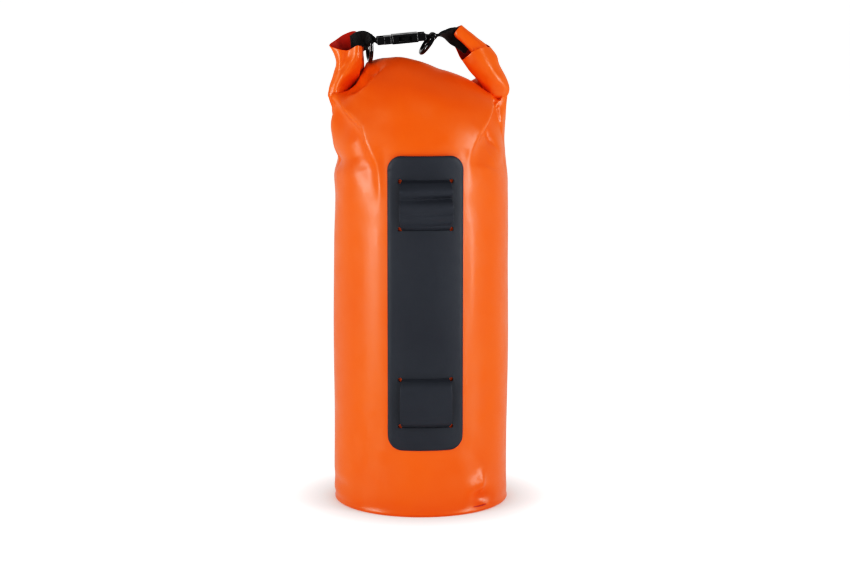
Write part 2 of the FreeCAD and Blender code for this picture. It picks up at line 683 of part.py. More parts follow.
def make_buckle_female():
    """The female half: a flat housing with a mouth, two side windows, a top slot and a strap bar."""
    place = buckle_place()
    body = new_body("female_housing", place)
    drawing = new_sketch(body, "female_outline", "XY_Plane")
    draw_rectangle(drawing, "mouth_start", "housing_end", "- buckle_width / 2", "buckle_width / 2")
    block = pad(body, drawing, "female_thickness", "female_pad")
    rounded = fillet_edges(body, block, 2.0, "female_rounding", upright)
    cavity = new_sketch(body, "female_cavity", "XY_Plane")
    draw_rectangle(cavity, "mouth_start - 1", "cavity_end", "- cavity_width / 2", "cavity_width / 2")
    pocket(body, cavity, "cavity_height", "female_mouth")
    windows = new_sketch(body, "female_windows", "XY_Plane")
    draw_rectangle(windows, "window_start", "window_end", "buckle_width / 2 - 3", "buckle_width / 2 + 3")
    draw_rectangle(windows, "window_start", "window_end", "- buckle_width / 2 - 3", "- buckle_width / 2 + 3")
    pocket(body, windows, "cavity_height", "female_side_windows")
    slot = new_sketch(body, "female_slot", "XY_Plane")
    draw_rectangle(slot, "window_start + 2", "window_end - 2", "- 2.2", "2.2")
    pocket(body, slot, "female_thickness + 2", "female_top_slot")
    pieces = [body]
    reach = size("buckle_length") + 1.8 - size("housing_end") + 1
    for side in (-1, 1):
        low = 10.6 if side > 0 else -13.2
        arm = box(f"female_arm_{side + 1}", f"{reach}", "2.6", "5.2", (0, 0, 0))
        arm.Placement = place.multiply(Placement(Vector(size("housing_end") - 1, low, -2.6), Rotation()))
        pieces.append(arm)
    bar = cylinder("female_bar", "bar_radius", "24", (0, 0, 0), Y_AXIS)
    spot = Placement(Vector(size("buckle_length"), -12, 0), Rotation(Z_AXIS, Y_AXIS))
    bar.Placement = place.multiply(spot)
    return fuse("buckle_female", [*pieces, bar])


def make_all():
    """Every sub-part, by the name of its node."""
    behind, lower_tail, upper_tail = make_strap_behind_panel()
    roll, strip = make_roll_middle()
    low, loop_low, loop_high, high = slit_heights()
    left_ring = Vector(size("left_ring_x"), 0, size("left_ring_z"))
    right_ring = Vector(size("right_ring_x"), 0, size("right_ring_z"))
    male_bar, female_bar = along_buckle(0), along_buckle(size("buckle_length"))
    swing = Rotation(Y_AXIS, size("right_ring_turn"))
    right_knee = Vector(RIGHT_RUN[1][0], 0, RIGHT_RUN[1][1])
    return {
        "body_tube": make_body_tube(),
        "base_disc": make_base_disc(),
        "back_seam_tape": make_back_seam(),
        "mount_panel": make_mount_panel(),
        "upper_loop": make_loop("upper_loop", loop_high, high, "upper_bulge"),
        "lower_loop": make_loop("lower_loop", low, loop_low, "lower_bulge"),
        "strap_behind_panel": behind,
        "strap_lower_tail": lower_tail,
        "strap_upper_tail": upper_tail,
        "roll_middle": roll,
        "mouth_strip": strip,
        "left_roll_end": make_roll_end("left_roll_end", LEFT_END, LEFT_RUN[:2]),
        "right_roll_end": make_roll_end("right_roll_end", RIGHT_END, RIGHT_RUN[:1:-1]),
        "left_strap": make_left_strap(),
        "right_strap": make_right_strap(),
        "left_bar_tacks": make_bar_tacks("left_bar_tacks", [(left_ring, male_bar, 0.5)]),
        "right_bar_tacks": make_bar_tacks("right_bar_tacks", [(female_bar, right_ring, 0.5),
                                                              (right_ring, right_knee, 0.75)]),
        "left_d_ring": make_d_ring("left_d_ring", Placement(left_ring, Rotation())),
        "right_d_ring": make_d_ring("right_d_ring", Placement(right_ring, swing)),
        "buckle_male": make_buckle_male(),
        "front_prong": make_prong("front_prong", -1),
        "rear_prong": make_prong("rear_prong", 1),
        "buckle_female": make_buckle_female(),
    }


def export(nodes):
    """Checks every object and writes one STEP file a node."""
    doc.recompute()
    broken = [o.Label for o in doc.Objects if {"Invalid", "Error"} & set(o.State)]
    if broken:
        raise RuntimeError(f"these objects failed: {broken}")
    for name, item in nodes.items():
        if item.Shape.isNull() or not item.Shape.isValid() or not item.Shape.Solids:
            raise RuntimeError(f"{name} has no valid solid")
    os.makedirs(PARTS, exist_ok=True)
    for old in os.listdir(PARTS):
        os.remove(os.path.join(PARTS, old))
    for name, item in nodes.items():
        item.Shape.exportStep(os.path.join(PARTS, name + ".step"))
        print(f"{name}: {item.Shape.Volume:.0f} mm3, {len(item.Shape.Solids)} solid(s)")


export(make_all())
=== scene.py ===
import bmesh
import bpy
import math
import numpy as np
from mathutils import Matrix, Vector


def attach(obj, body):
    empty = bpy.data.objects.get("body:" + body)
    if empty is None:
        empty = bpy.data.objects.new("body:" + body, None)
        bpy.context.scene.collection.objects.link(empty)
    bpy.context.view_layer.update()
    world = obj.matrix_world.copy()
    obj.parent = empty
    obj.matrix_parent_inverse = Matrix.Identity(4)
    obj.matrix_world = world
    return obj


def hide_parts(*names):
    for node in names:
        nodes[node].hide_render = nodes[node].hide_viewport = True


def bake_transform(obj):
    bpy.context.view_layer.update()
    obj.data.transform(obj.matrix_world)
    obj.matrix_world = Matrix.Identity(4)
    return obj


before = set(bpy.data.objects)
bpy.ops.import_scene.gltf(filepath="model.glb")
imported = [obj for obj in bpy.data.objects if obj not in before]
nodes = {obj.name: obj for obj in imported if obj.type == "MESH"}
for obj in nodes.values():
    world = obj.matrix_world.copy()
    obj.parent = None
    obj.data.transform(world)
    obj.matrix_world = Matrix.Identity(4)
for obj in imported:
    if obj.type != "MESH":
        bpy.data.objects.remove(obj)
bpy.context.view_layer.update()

MM = 0.001
TAU = 2 * math.pi
RADIUS = 90.0
# the skin's grid: columns round it, the round tube's height and row pitch, and the rows above that
SEGMENTS = 216
LOW_TOP, LOW_PITCH = 300.0, 4.6
TOP_ROWS = 70


# ---- helpers: lines, grids and meshes (millimetres)
def smooth(t):
    t = np.clip(t, 0.0, 1.0)
    return t * t * (3 - 2 * t)


def unit(v):
    """The vectors along the last axis, scaled to length 1."""
    return v / np.maximum(np.linalg.norm(v, axis=-1, keepdims=True), 1e-9)


def signed_power(value, power):
    return math.copysign(abs(value) ** power, value)


def circle(count):
    """Evenly spaced angles once round."""
    return np.linspace(0, TAU, count + 1)[:-1]


def length_of(line):
    return float(np.linalg.norm(np.diff(line, axis=0), axis=1).sum())


def resample(line, count):
    steps = np.linalg.norm(np.diff(line, axis=0), axis=1)
    along = np.concatenate([[0], np.cumsum(steps)])
    at = np.linspace(0, along[-1], count)
    return np.stack([np.interp(at, along, line[:, k]) for k in range(line.shape[1])], 1)


def spline(points, count, even=True):
    """Points along a smooth curve through the given ones: evenly spaced, or evenly between the given ones."""
    p = np.array(points, float)
    p = np.concatenate([2 * p[:1] - p[1:2], p, 2 * p[-1:] - p[-2:-1]])
    t = np.linspace(0, 1, 25)[:-1, None]
    fine = []
    for a, b, c, d in zip(p, p[1:], p[2:], p[3:]):
        fine.append(0.5 * (2 * b + (c - a) * t + (2 * a - 5 * b + 4 * c - d) * t ** 2
                           + (3 * b - a - 3 * c + d) * t ** 3))
    fine = np.concatenate(fine + [p[-2:-1]])
    if even:
        return resample(fine, count)
    at = np.linspace(0, len(fine) - 1, count)
    return np.stack([np.interp(at, np.arange(len(fine)), fine[:, k]) for k in range(fine.shape[1])], 1)


def ahead_of(line, k):
    """The line's direction at its point k, not scaled."""
    return line[min(k + 1, len(line) - 1)] - line[max(k - 1, 0)]


def spread(values, count):
    """The values of some stations, carried over evenly to a number of points."""
    return np.interp(np.linspace(0, len(values) - 1, count), range(len(values)), values)


def new_object(name, data):
    obj = bpy.data.objects.new(name, data)
    bpy.context.scene.collection.objects.link(obj)
    return obj


def make_object(name, verts, faces, uvs=None):
    """A smooth mesh object from points in millimetres, with one texture place per face corner."""
    mesh = bpy.data.meshes.new(name)
    mesh.from_pydata([tuple(v) for v in np.asarray(verts) * MM], [], faces)
    mesh.shade_smooth()
    if uvs is not None:
        layer = mesh.uv_layers.new(name="cloth")
        layer.data.foreach_set("uv", np.asarray(uvs, float).reshape(-1))
    return new_object(name, mesh)


def grid_object(name, points, wrap_u=False, wrap_v=False, cap=False):
    """A mesh from a grid of points[row][column]; its texture places are distances along the sheet."""
    points = np.asarray(points, float)
    rows, cols = points.shape[:2]
    du = np.linalg.norm(np.diff(np.concatenate([points, points[:, :1]], 1), axis=1), axis=2)
    dv = np.linalg.norm(np.diff(np.concatenate([points, points[:1]], 0), axis=0), axis=2)
    u = np.concatenate([[0], np.cumsum(du.max(0))])
    v = np.concatenate([[0], np.cumsum(dv.mean(1))])
    faces, uvs = [], []
    for i in range(rows if wrap_v else rows - 1):
        for j in range(cols if wrap_u else cols - 1):
            j2, i2 = (j + 1) % cols, (i + 1) % rows
            faces.append((i * cols + j, i * cols + j2, i2 * cols + j2, i2 * cols + j))
            uvs += [(u[j], v[i]), (u[j + 1], v[i]), (u[j + 1], v[i + 1]), (u[j], v[i + 1])]
    if cap:
        for ring in (range(cols - 1, -1, -1), range((rows - 1) * cols, rows * cols)):
            faces.append(tuple(ring))
            uvs += [(0, 0)] * cols
    return make_object(name, points.reshape(-1, 3), faces, np.array(uvs) * MM)


def evaluated_mesh(obj):
    graph = bpy.context.evaluated_depsgraph_get()
    graph.update()
    return bpy.data.meshes.new_from_object(obj.evaluated_get(graph))


def settle(obj):
    """Replaces the object's mesh by its evaluated one, so that no modifier is left on it."""
    mesh = evaluated_mesh(obj)
    obj.modifiers.clear()
    obj.data = mesh
    return obj


def subdivide(obj):
    m = obj.modifiers.new("smooth", "SUBSURF")
    m.levels = m.render_levels = 1
    return settle(obj)


def round_edges(obj, width, segments, angle):
    """Puts a bevel on the edges that turn by more than the angle, in degrees."""
    m = obj.modifiers.new("rim", "BEVEL")
    m.width = width * MM
    m.segments = segments
    m.angle_limit = math.radians(angle)
    return m


def thicken(obj, thickness, bevel, offset=0.0, faces=()):
    """Gives a sheet a thickness, to both sides or outwards for offset 1, with rounded rims. faces are the two
    sides' materials, where they differ, and the second is also the rim's."""
    m = obj.modifiers.new("thick", "SOLIDIFY")
    for material in faces:
        obj.data.materials.append(material)
    if faces:
        m.material_offset = m.material_offset_rim = 1
    m.thickness = thickness * MM
    m.offset = offset
    round_edges(obj, bevel, 2, 50)
    return settle(obj)


def join(name, parts):
    """One object from several, in the frame's own place."""
    verts, faces, uvs = [], [], []
    for obj in parts:
        start = len(verts)
        mesh = obj.data
        verts += [np.array(obj.matrix_world @ v.co) / MM for v in mesh.vertices]
        layer = mesh.uv_layers[0].data
        for poly in mesh.polygons:
            faces.append(tuple(start + n for n in poly.vertices))
            uvs += [tuple(layer[k].uv) for k in poly.loop_indices]
        bpy.data.objects.remove(obj)
    return make_object(name, verts, faces, uvs)


def turned_to(grid, spot, *turns):
    """Points turned about the origin by (degrees, axis) turns, the last one first, then moved to (x, z)."""
    turn = Matrix.Identity(3)
    for degrees, axis in turns:
        turn = turn @ Matrix.Rotation(math.radians(degrees), 3, axis)
    return np.array(grid) @ np.array(turn).T + np.array([spot[0], 0, spot[1]])


def waves(a, b, seed, scale):
    """Smooth unevenness between about -1 and 1 from two distances, the same at every run."""
    rng = np.random.default_rng(seed)
    total = np.zeros(np.shape(a))
    for _ in range(7):
        angle, phase = rng.uniform(0, math.pi), rng.uniform(0, TAU)
        pitch = scale * rng.uniform(0.6, 1.7)
        total += np.sin((a * math.cos(angle) + b * math.sin(angle)) * TAU / pitch + phase)
    return total / 3.5


# ---- materials
def principled(name, color, roughness, **sockets):
    mat = bpy.data.materials.new(name)
    mat.use_nodes = True
    shader = mat.node_tree.nodes["Principled BSDF"]
    shader.inputs["Base Color"].default_value = (*color, 1)
    shader.inputs["Roughness"].default_value = roughness
    for socket, value in sockets.items():
        shader.inputs[socket.replace("_", " ")].default_value = value
    return mat, mat.node_tree, shader


def add_node(tree, kind, inputs=None, **settings):
    node = tree.nodes.new("ShaderNode" + kind)
    for key, value in settings.items():
        setattr(node, key, value)
    for key, value in (inputs or {}).items():
        if isinstance(value, bpy.types.NodeSocket):
            tree.links.new(value, node.inputs[key])
        else:
            node.inputs[key].default_value = value
    return node


def noise(tree, scale, detail):
    place = add_node(tree, "TexCoord").outputs["Object"]
    inputs = {"Vector": place, "Scale": scale, "Detail": detail, "Roughness": 0.55}
    return add_node(tree, "TexNoise", inputs).outputs["Fac"]


def map_range(tree, value, old, new):
    """A value carried over from the range old to the range new."""
    inputs = {"Value": value, "From Min": old[0], "From Max": old[1], "To Min": new[0], "To Max": new[1]}
    return add_node(tree, "MapRange", inputs).outputs["Result"]


def cloud(tree, scale, detail, low, high):
    """Noise stretched so that it runs all the way from low to high."""
    return map_range(tree, noise(tree, scale, detail), (0.3, 0.7), (low, high))


def math_node(tree, operation, a, b=0.0):
    return add_node(tree, "Math", {0: a, 1: b}, operation=operation).outputs[0]


def weave(tree, pitch_u, pitch_v, twill=0.0):
    """Height of a plain weave from the cloth's own places, in metres: threads over and under each other."""
    place = add_node(tree, "UVMap", uv_map="cloth").outputs["UV"]
    split = add_node(tree, "SeparateXYZ", {0: place})

    def calc(operation, a, b=0.0):
        return math_node(tree, operation, a, b)

    v = calc("MULTIPLY", split.outputs[1], math.pi / pitch_v)
    u = calc("MULTIPLY", split.outputs[0], math.pi / pitch_u)
    u = calc("SINE", calc("ADD", u, calc("MULTIPLY", v, twill)))
    v = calc("SINE", v)
    high = calc("GREATER_THAN", calc("MULTIPLY", u, v), 0.0)
    warp = calc("MULTIPLY", calc("ABSOLUTE", u), high)
    weft = calc("MULTIPLY", calc("ABSOLUTE", v), calc("SUBTRACT", 1.0, high))
    return calc("ADD", warp, weft)


def bump(tree, shader, height, strength, distance, under=None):
    """Relief of the surface; distance is in metres, and under is a coarser relief that it lies on."""
    inputs = {"Height": height, "Strength": strength, "Distance": distance}
    if under is not None:
        inputs["Normal"] = under
    node = add_node(tree, "Bump", inputs)
    tree.links.new(node.outputs[0], shader.inputs["Normal"])
    return node.outputs[0]


def mix_colors(tree, shader, factor, a, b):
    """Makes the surface's colour run from a to b with the factor."""
    node = add_node(tree, "Mix", data_type="RGBA")
    tree.links.new(factor, node.inputs[0])
    node.inputs[6].default_value = (*a, 1)
    node.inputs[7].default_value = (*b, 1)
    tree.links.new(node.outputs[2], shader.inputs["Base Color"])


def coated_fabric(name, color, deep, roughness):
    """Satin coated fabric: faint weave under the coating, cloudy gloss and slow colour drift."""
    mat, tree, shader = principled(name, color, roughness, Specular_IOR_Level=0.42)
    mix_colors(tree, shader, cloud(tree, 9, 3, 0.0, 1.0), color, deep)
    tree.links.new(cloud(tree, 55, 4, roughness - 0.05, roughness + 0.07), shader.inputs["Roughness"])
    uneven = bump(tree, shader, noise(tree, 130, 3), 0.10, 0.0006)
    bump(tree, shader, weave(tree, 0.00085, 0.00085), 0.10, 0.00018, uneven)
    return mat


def make_panel_material():
    """Matt black coated fabric with a fine soft grain."""
    mat, tree, shader = principled("panel_black_coated", (0.021, 0.0235, 0.030), 0.50,
                                   Specular_IOR_Level=0.32)
    mix_colors(tree, shader, cloud(tree, 14, 3, 0.0, 1.0), (0.037, 0.041, 0.052), (0.041, 0.046, 0.057))
    tree.links.new(cloud(tree, 90, 3, 0.46, 0.60), shader.inputs["Roughness"])
    grain = bump(tree, shader, noise(tree, 420, 2), 0.18, 0.0003)
    bump(tree, shader, weave(tree, 0.0007, 0.0007), 0.16, 0.00015, grain)
    return mat


def make_webbing_material():
    """Black woven webbing: slanting ribs, painted shade that darkens it between the threads, a little fuzz.
    """
    mat, tree, shader = principled("webbing_black_woven", (0.012, 0.012, 0.0135), 0.62, Sheen_Weight=0.06,
                                   Sheen_Roughness=0.5)
    ribs = weave(tree, 0.0012, 0.0022, twill=0.5)
    # Painted shade: the colour is darker where the weave lies low, between the threads.
    mix_colors(tree, shader, ribs, (0.003, 0.003, 0.0035), (0.010, 0.010, 0.011))
    fuzz = bump(tree, shader, noise(tree, 1500, 2), 0.25, 0.0002)
    bump(tree, shader, ribs, 0.7, 0.0005, fuzz)
    return mat


def make_plastic(name, color, roughness, coat, grain):
    """Moulded plastic with cloudy gloss and a fine grain."""
    mat, tree, shader = principled(name, color, roughness, Coat_Weight=coat, Coat_Roughness=0.06)
    tree.links.new(cloud(tree, 160, 3, roughness * 0.85, roughness * 1.25), shader.inputs["Roughness"])
    bump(tree, shader, noise(tree, 900, 2), grain, 0.00012)
    return mat


ORANGE = coated_fabric("orange_coated_fabric", (0.84, 0.125, 0.0036), (0.81, 0.112, 0.0030), 0.33)
# A darker, redder copy of the orange fabric: painted shade, used on the inner side of the sleeves and on the
# base under the bag.
ORANGE_PAINTED_SHADE = coated_fabric("orange_painted_shade", (0.50, 0.020, 0.003), (0.44, 0.016, 0.0025), 0.45)
ORANGE_TAPE = coated_fabric("orange_seam_tape", (0.82, 0.106, 0.003), (0.79, 0.094, 0.0025), 0.29)
PANEL = make_panel_material()
WEBBING = make_webbing_material()
RING = make_plastic("ring_black_gloss", (0.007, 0.007, 0.008), 0.13, 0.6, 0.04)
BUCKLE = make_plastic("buckle_black_moulded", (0.010, 0.010, 0.0115), 0.30, 0.15, 0.10)
THREAD = make_plastic("thread_black", (0.022, 0.022, 0.025), 0.5, 0.0, 0.5)


def dress(obj, material, body, slot, *replaced, blend=None):
    """Material and body of a finished piece, and the CAD nodes that it stands for. Its record slot is not
    used.
    """
    if material:
        obj.data.materials.clear()
        obj.data.materials.append(material)
    if blend:
        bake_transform(obj)
    else:
        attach(obj, body)
    if replaced:
        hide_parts(*replaced)


# ---- the body's sheet
# The crown's crest, and the line where the front and back walls meet under the roll, from left to right.
CREST = [(-94.6, -1, 422), (-89.5, -6, 421), (-81, -9.5, 423.5), (-73, -10.5, 430), (-66, -6, 443),
         (-58, 2, 455.5), (-47, 2, 458), (-34, -7, 459.5), (-19, -15, 460), (2, -17, 454.5),
         (20, -16, 449), (38, -15, 443.5), (52, -13, 436.5), (61, -11.5, 429.5), (69, -11, 422.5),
         (76, -10, 421), (82, -8, 424), (87, -4.5, 427.5), (89.8, -1, 429)]
CLOSURE = [(-94.6, 0.5, 421.5), (-85, 7, 419), (-62, 20, 422), (-30, 30, 426), (0, 33, 426), (30, 31, 423),
           (56, 24, 417), (78, 9, 412), (89.8, 0.5, 427)]


def body_rows():
    """Rows of points from the foot to the line where the mouth closes, before any crease. A column goes up
    the tube, round the shoulder by a knee and a hip, at the front over the crest, to the closing line."""
    round_top = 345.0
    half = SEGMENTS // 2
    close = spline(CLOSURE, half + 1)
    crest = spline(CREST, half + 1)
    low = np.concatenate([[0.0, 1.2, 2.6, 4.5, 7.0, 10.0], np.arange(14.0, LOW_TOP, LOW_PITCH), [LOW_TOP]])
    columns = []
    for k in range(SEGMENTS):
        phi = TAU * k / SEGMENTS
        front = k <= half
        i = k if front else SEGMENTS - k
        around = np.array([-RADIUS * math.cos(phi), -RADIUS * math.sin(phi), 0])
        foot = np.array([around + (0, 0, z) for z in low])
        end = close[i]
        edge = math.sin(math.pi * i / half)
        if front:
            top = crest[i]
            knee = np.array([0.82 * around[0] + 0.18 * top[0], around[1] * 0.93, 378 + 14 * edge])
            hip = np.array([0.45 * around[0] + 0.55 * top[0], around[1] * 0.66 + top[1] * 0.2,
                            0.42 * 392 + 0.58 * top[2] + 1.0])
            behind = np.array([0.5 * (top[0] + end[0]), 0.35 * top[1] + 0.65 * end[1] - 2,
                               0.62 * top[2] + 0.38 * end[2]])
            over = [knee, hip, top, behind, end]
        else:
            knee = np.array([0.9 * around[0] + 0.1 * end[0], around[1] * 0.93, 376 + 6 * edge])
            hip = np.array([0.6 * around[0] + 0.4 * end[0], around[1] * 0.62 + end[1] * 0.25,
                            0.38 * 385 + 0.62 * end[2]])
            over = [knee, hip, end + (0, 0.4, 0)]
        path = [foot[-1], around + (0, 0, round_top)] + over
        columns.append(np.concatenate([foot, spline(path, TOP_ROWS + 1)[1:]]))
    return np.array(columns).transpose(1, 0, 2)


def normals_of(rows):
    """Outward unit normals of a grid that closes around its columns."""
    along = np.gradient(rows, axis=0)
    across = np.roll(rows, -1, 1) - np.roll(rows, 1, 1)
    return unit(np.cross(across, along))


def sheet_place(rows):
    """Where each point lies in the flat sheet: distance round from the front's middle, and distance up."""
    steps = np.linalg.norm(np.diff(rows, axis=0), axis=2)
    up = np.concatenate([np.zeros((1, rows.shape[1])), np.cumsum(steps, 0)])
    phi = TAU * np.arange(rows.shape[1]) / rows.shape[1]
    round_ = RADIUS * (phi - math.pi / 2)
    round_[round_ > RADIUS * math.pi] -= RADIUS * TAU
    return np.broadcast_to(round_, rows.shape[:2]).copy(), up


def locate(rows, points, back=False):
    """The flat-sheet place of points given as (x, z) seen from the front, or from behind."""
    round_, up = sheet_place(rows)
    side = rows[..., 1] > 0 if back else rows[..., 1] < 4
    found = []
    for x, z in points:
        gap = np.hypot(rows[..., 0] - x, rows[..., 2] - z) + np.where(side, 0, 1e3)
        i, j = np.unravel_index(np.argmin(gap), gap.shape)
        found.append((round_[i, j], up[i, j]))
    return np.array(found)


def across_path(round_, up, path):
    """Signed distance to a path in the flat sheet (positive to its left), and the share of its length."""
    best = np.full(round_.shape, 1e9)
    sign = np.ones(round_.shape)
    share = np.zeros(round_.shape)
    total = length_of(path)
    done = 0.0
    for a, b in zip(path, path[1:]):
        d = b - a
        size = np.linalg.norm(d)
        t = np.clip(((round_ - a[0]) * d[0] + (up - a[1]) * d[1]) / size ** 2, 0, 1)
        dx, dy = round_ - a[0] - t * d[0], up - a[1] - t * d[1]
        gap = np.hypot(dx, dy)
        nearer = gap < best
        best = np.where(nearer, gap, best)
        sign = np.where(nearer, np.sign(d[0] * dy - d[1] * dx), sign)
        share = np.where(nearer, (done + t * size) / total, share)
        done += size
    return best * sign, share


def cross_profile(gap, wide_left, wide_right):
    """A crease's shape across its line: 1 on the line, falling off over a width of its own each side."""
    width = np.where(gap > 0, wide_left, wide_right)
    return np.exp((1.5 - np.hypot(gap, 1.5)) / width)


def relief(base, round_, up):
    """How far each point of the base stands out because of creases, hollows and puckers."""
    out = np.zeros(round_.shape)

    def crease(points, height, wide_left, wide_right, back=False, rise=0.1, fall=0.5, step=0.0, wide=9.0,
               reach=40.0):
        """A ridge, or for a negative height a valley, along a line. It grows over the share rise of its
        length and fades over the share fall. A step goes down on its left, or if negative on its right."""
        nonlocal out
        gap, share = across_path(round_, up, locate(base, points, back))
        near = smooth(share / rise) * smooth((1 - share) / fall)
        out = out + height * near * cross_profile(gap, wide_left, wide_right)
        if step:
            far = gap * math.copysign(1, step)
            sunk = (1 - np.exp(-np.clip(far, 0, None) / wide)) * np.exp(-(far / reach) ** 2) * (far > 0)
            out = out - abs(step) * near * sunk

    def dent(x, z, depth, wide_round, wide_up, back=False):
        """A round hollow, or for a negative depth a swelling."""
        nonlocal out
        centre = locate(base, [(x, z)], back)[0]
        gap = np.hypot((round_ - centre[0]) / wide_round, (up - centre[1]) / wide_up)
        out = out - depth * np.exp(-gap ** 2)

    # front, left of the panel: the long crease from the corner, and the hollow at the side of it
    crease([(-93, 421), (-79, 413.5), (-69, 405), (-61, 393), (-58, 382), (-53, 370), (-46, 358),
            (-44, 336), (-44, 308)], 4.8, 15, 5, rise=0.02, fall=0.45, step=-9.5, wide=8, reach=22)
    crease([(-94, 422), (-85, 416), (-76, 410), (-68, 403), (-62, 393)], 3.2, 6, 3.5, rise=0.03)
    dent(-90, 396, -2.6, 14, 16)
    crease([(-89, 357), (-76, 362), (-64, 368), (-54, 369)], -2.4, 8, 6, rise=0.05)
    crease([(-89, 345), (-76, 349), (-62, 352), (-52, 350)], 1.6, 8, 12)
    dent(-90, 357, 5.0, 26, 9)
    dent(89, 390, 5.0, 22, 34)
    dent(89, 345, 2.0, 26, 40)
    dent(-90, 320, 1.6, 24, 26)
    # front, right of the panel: the crease from the corner down to the panel, and the fold next to the side
    crease([(88, 422), (79, 418), (71, 411), (65, 399), (56, 388), (47, 376), (42, 362), (44, 338)], 5.0, 5,
            17, rise=0.15, step=9.5, wide=8, reach=30)
    crease([(89, 426), (82, 420.5), (74, 414), (68, 403), (62, 395)], 3.0, 3.5, 6, rise=0.03)
    crease([(85, 419), (74, 405), (71, 394), (74, 382), (80, 371), (84, 360)], -3.4, 4, 9, fall=0.35)
    crease([(88, 356), (70, 352), (58, 346)], -1.2, 7, 7, fall=0.6)
    # the hollow between the left sleeve and the crown, and the soft ridge in front of it
    crease([(-77, 422), (-66, 427), (-57, 434), (-48, 443), (-39, 451), (-30, 457)], 1.4, 7, 14, rise=0.3,
            fall=0.4, step=11, wide=10, reach=30)
    # the crown: shallow folds that run from the roll to the front
    crease([(-84, 432), (-66, 428), (-48, 420), (-30, 412)], -1.8, 9, 7, fall=0.7)
    crease([(22, 448), (34, 440), (44, 428)], 0.9, 9, 12, rise=0.3, fall=0.6)
    # back
    crease([(-88, 418), (-76, 407), (-66, 393), (-60, 376), (-56, 354), (-55, 330)], 2.6, 5, 14, back=True,
            rise=0.06, fall=0.45, step=5.5, reach=42)
    crease([(88, 416), (75, 404), (64, 388), (58, 370), (52, 350), (50, 322)], 2.6, 14, 5, back=True,
            rise=0.06, fall=0.45, step=-6.0, reach=42)
    crease([(-40, 424), (-34, 408), (-30, 388), (-28, 366)], -1.5, 9, 9, back=True, rise=0.2, fall=0.6)
    crease([(36, 422), (30, 404), (28, 384), (30, 362)], 1.4, 9, 10, back=True, rise=0.2, fall=0.6)
    crease([(-88, 366), (-74, 362), (-58, 364), (-40, 358)], -1.8, 6, 8, back=True)
    # foot: a pucker at the right and a pinch at the left, just above the hem
    dent(57, 13, 6.5, 13, 7.5)
    crease([(54, 48), (57, 35), (58, 25)], 3.4, 6, 7, rise=0.5, fall=0.25)
    crease([(32, 23), (48, 26), (62, 27)], 2.2, 5, 6, rise=0.5, fall=0.2)
    dent(-87, 24, 3.0, 22, 5.0)
    dent(-88, 14, -1.4, 20, 5)
    dent(-30, 10, 0.8, 40, 6)
    dent(40, 14, 1.6, 16, 6, back=True)
    dent(-66, 16, 1.8, 16, 6, back=True)
    return out


def make_skin():
    """The skin as one object, and its grid of points before subdivision."""
    base = body_rows()
    round_, up = sheet_place(base)
    last = up.max(0)
    under_panel = smooth((52 - np.abs(round_)) / 10) * smooth((378 - up) / 8) * smooth((up - 58) / 8)
    out = relief(base, round_, up) * (1 - under_panel) * smooth((last - up) / 8) * smooth((up - 3.5) / 5)
    # slow unevenness, none under the panel, at the hem or where the mouth closes
    free = (1 - under_panel) * smooth((up - 5) / 22) * smooth((last - up) / 14)
    slow = 1.0 * waves(round_, up * 0.45, 11, 95) + 0.35 * waves(round_, up, 5, 42) * smooth((up - 250) / 90)
    slow = slow + 0.5 * waves(round_, up * 0.2, 23, 60)
    out = out + slow * free
    # hem: the weld lip at the foot stands a little proud, with a groove above it
    lip = np.interp(up[:, 0], [0, 1.2, 2.6, 4.5, 7.0, 10, 14], [-1.3, 0.15, 0.3, -0.45, -0.5, -0.15, 0])
    out = out + lip[:, None] * (up < 16)
    rows = base + normals_of(base) * out[..., None]
    rows[0, :, 2] = 0.0
    return subdivide(grid_object("bag_skin", rows, wrap_u=True)), rows


body, skin = make_skin()
dress(body, ORANGE, "bag", "orange_skin", "body_tube")


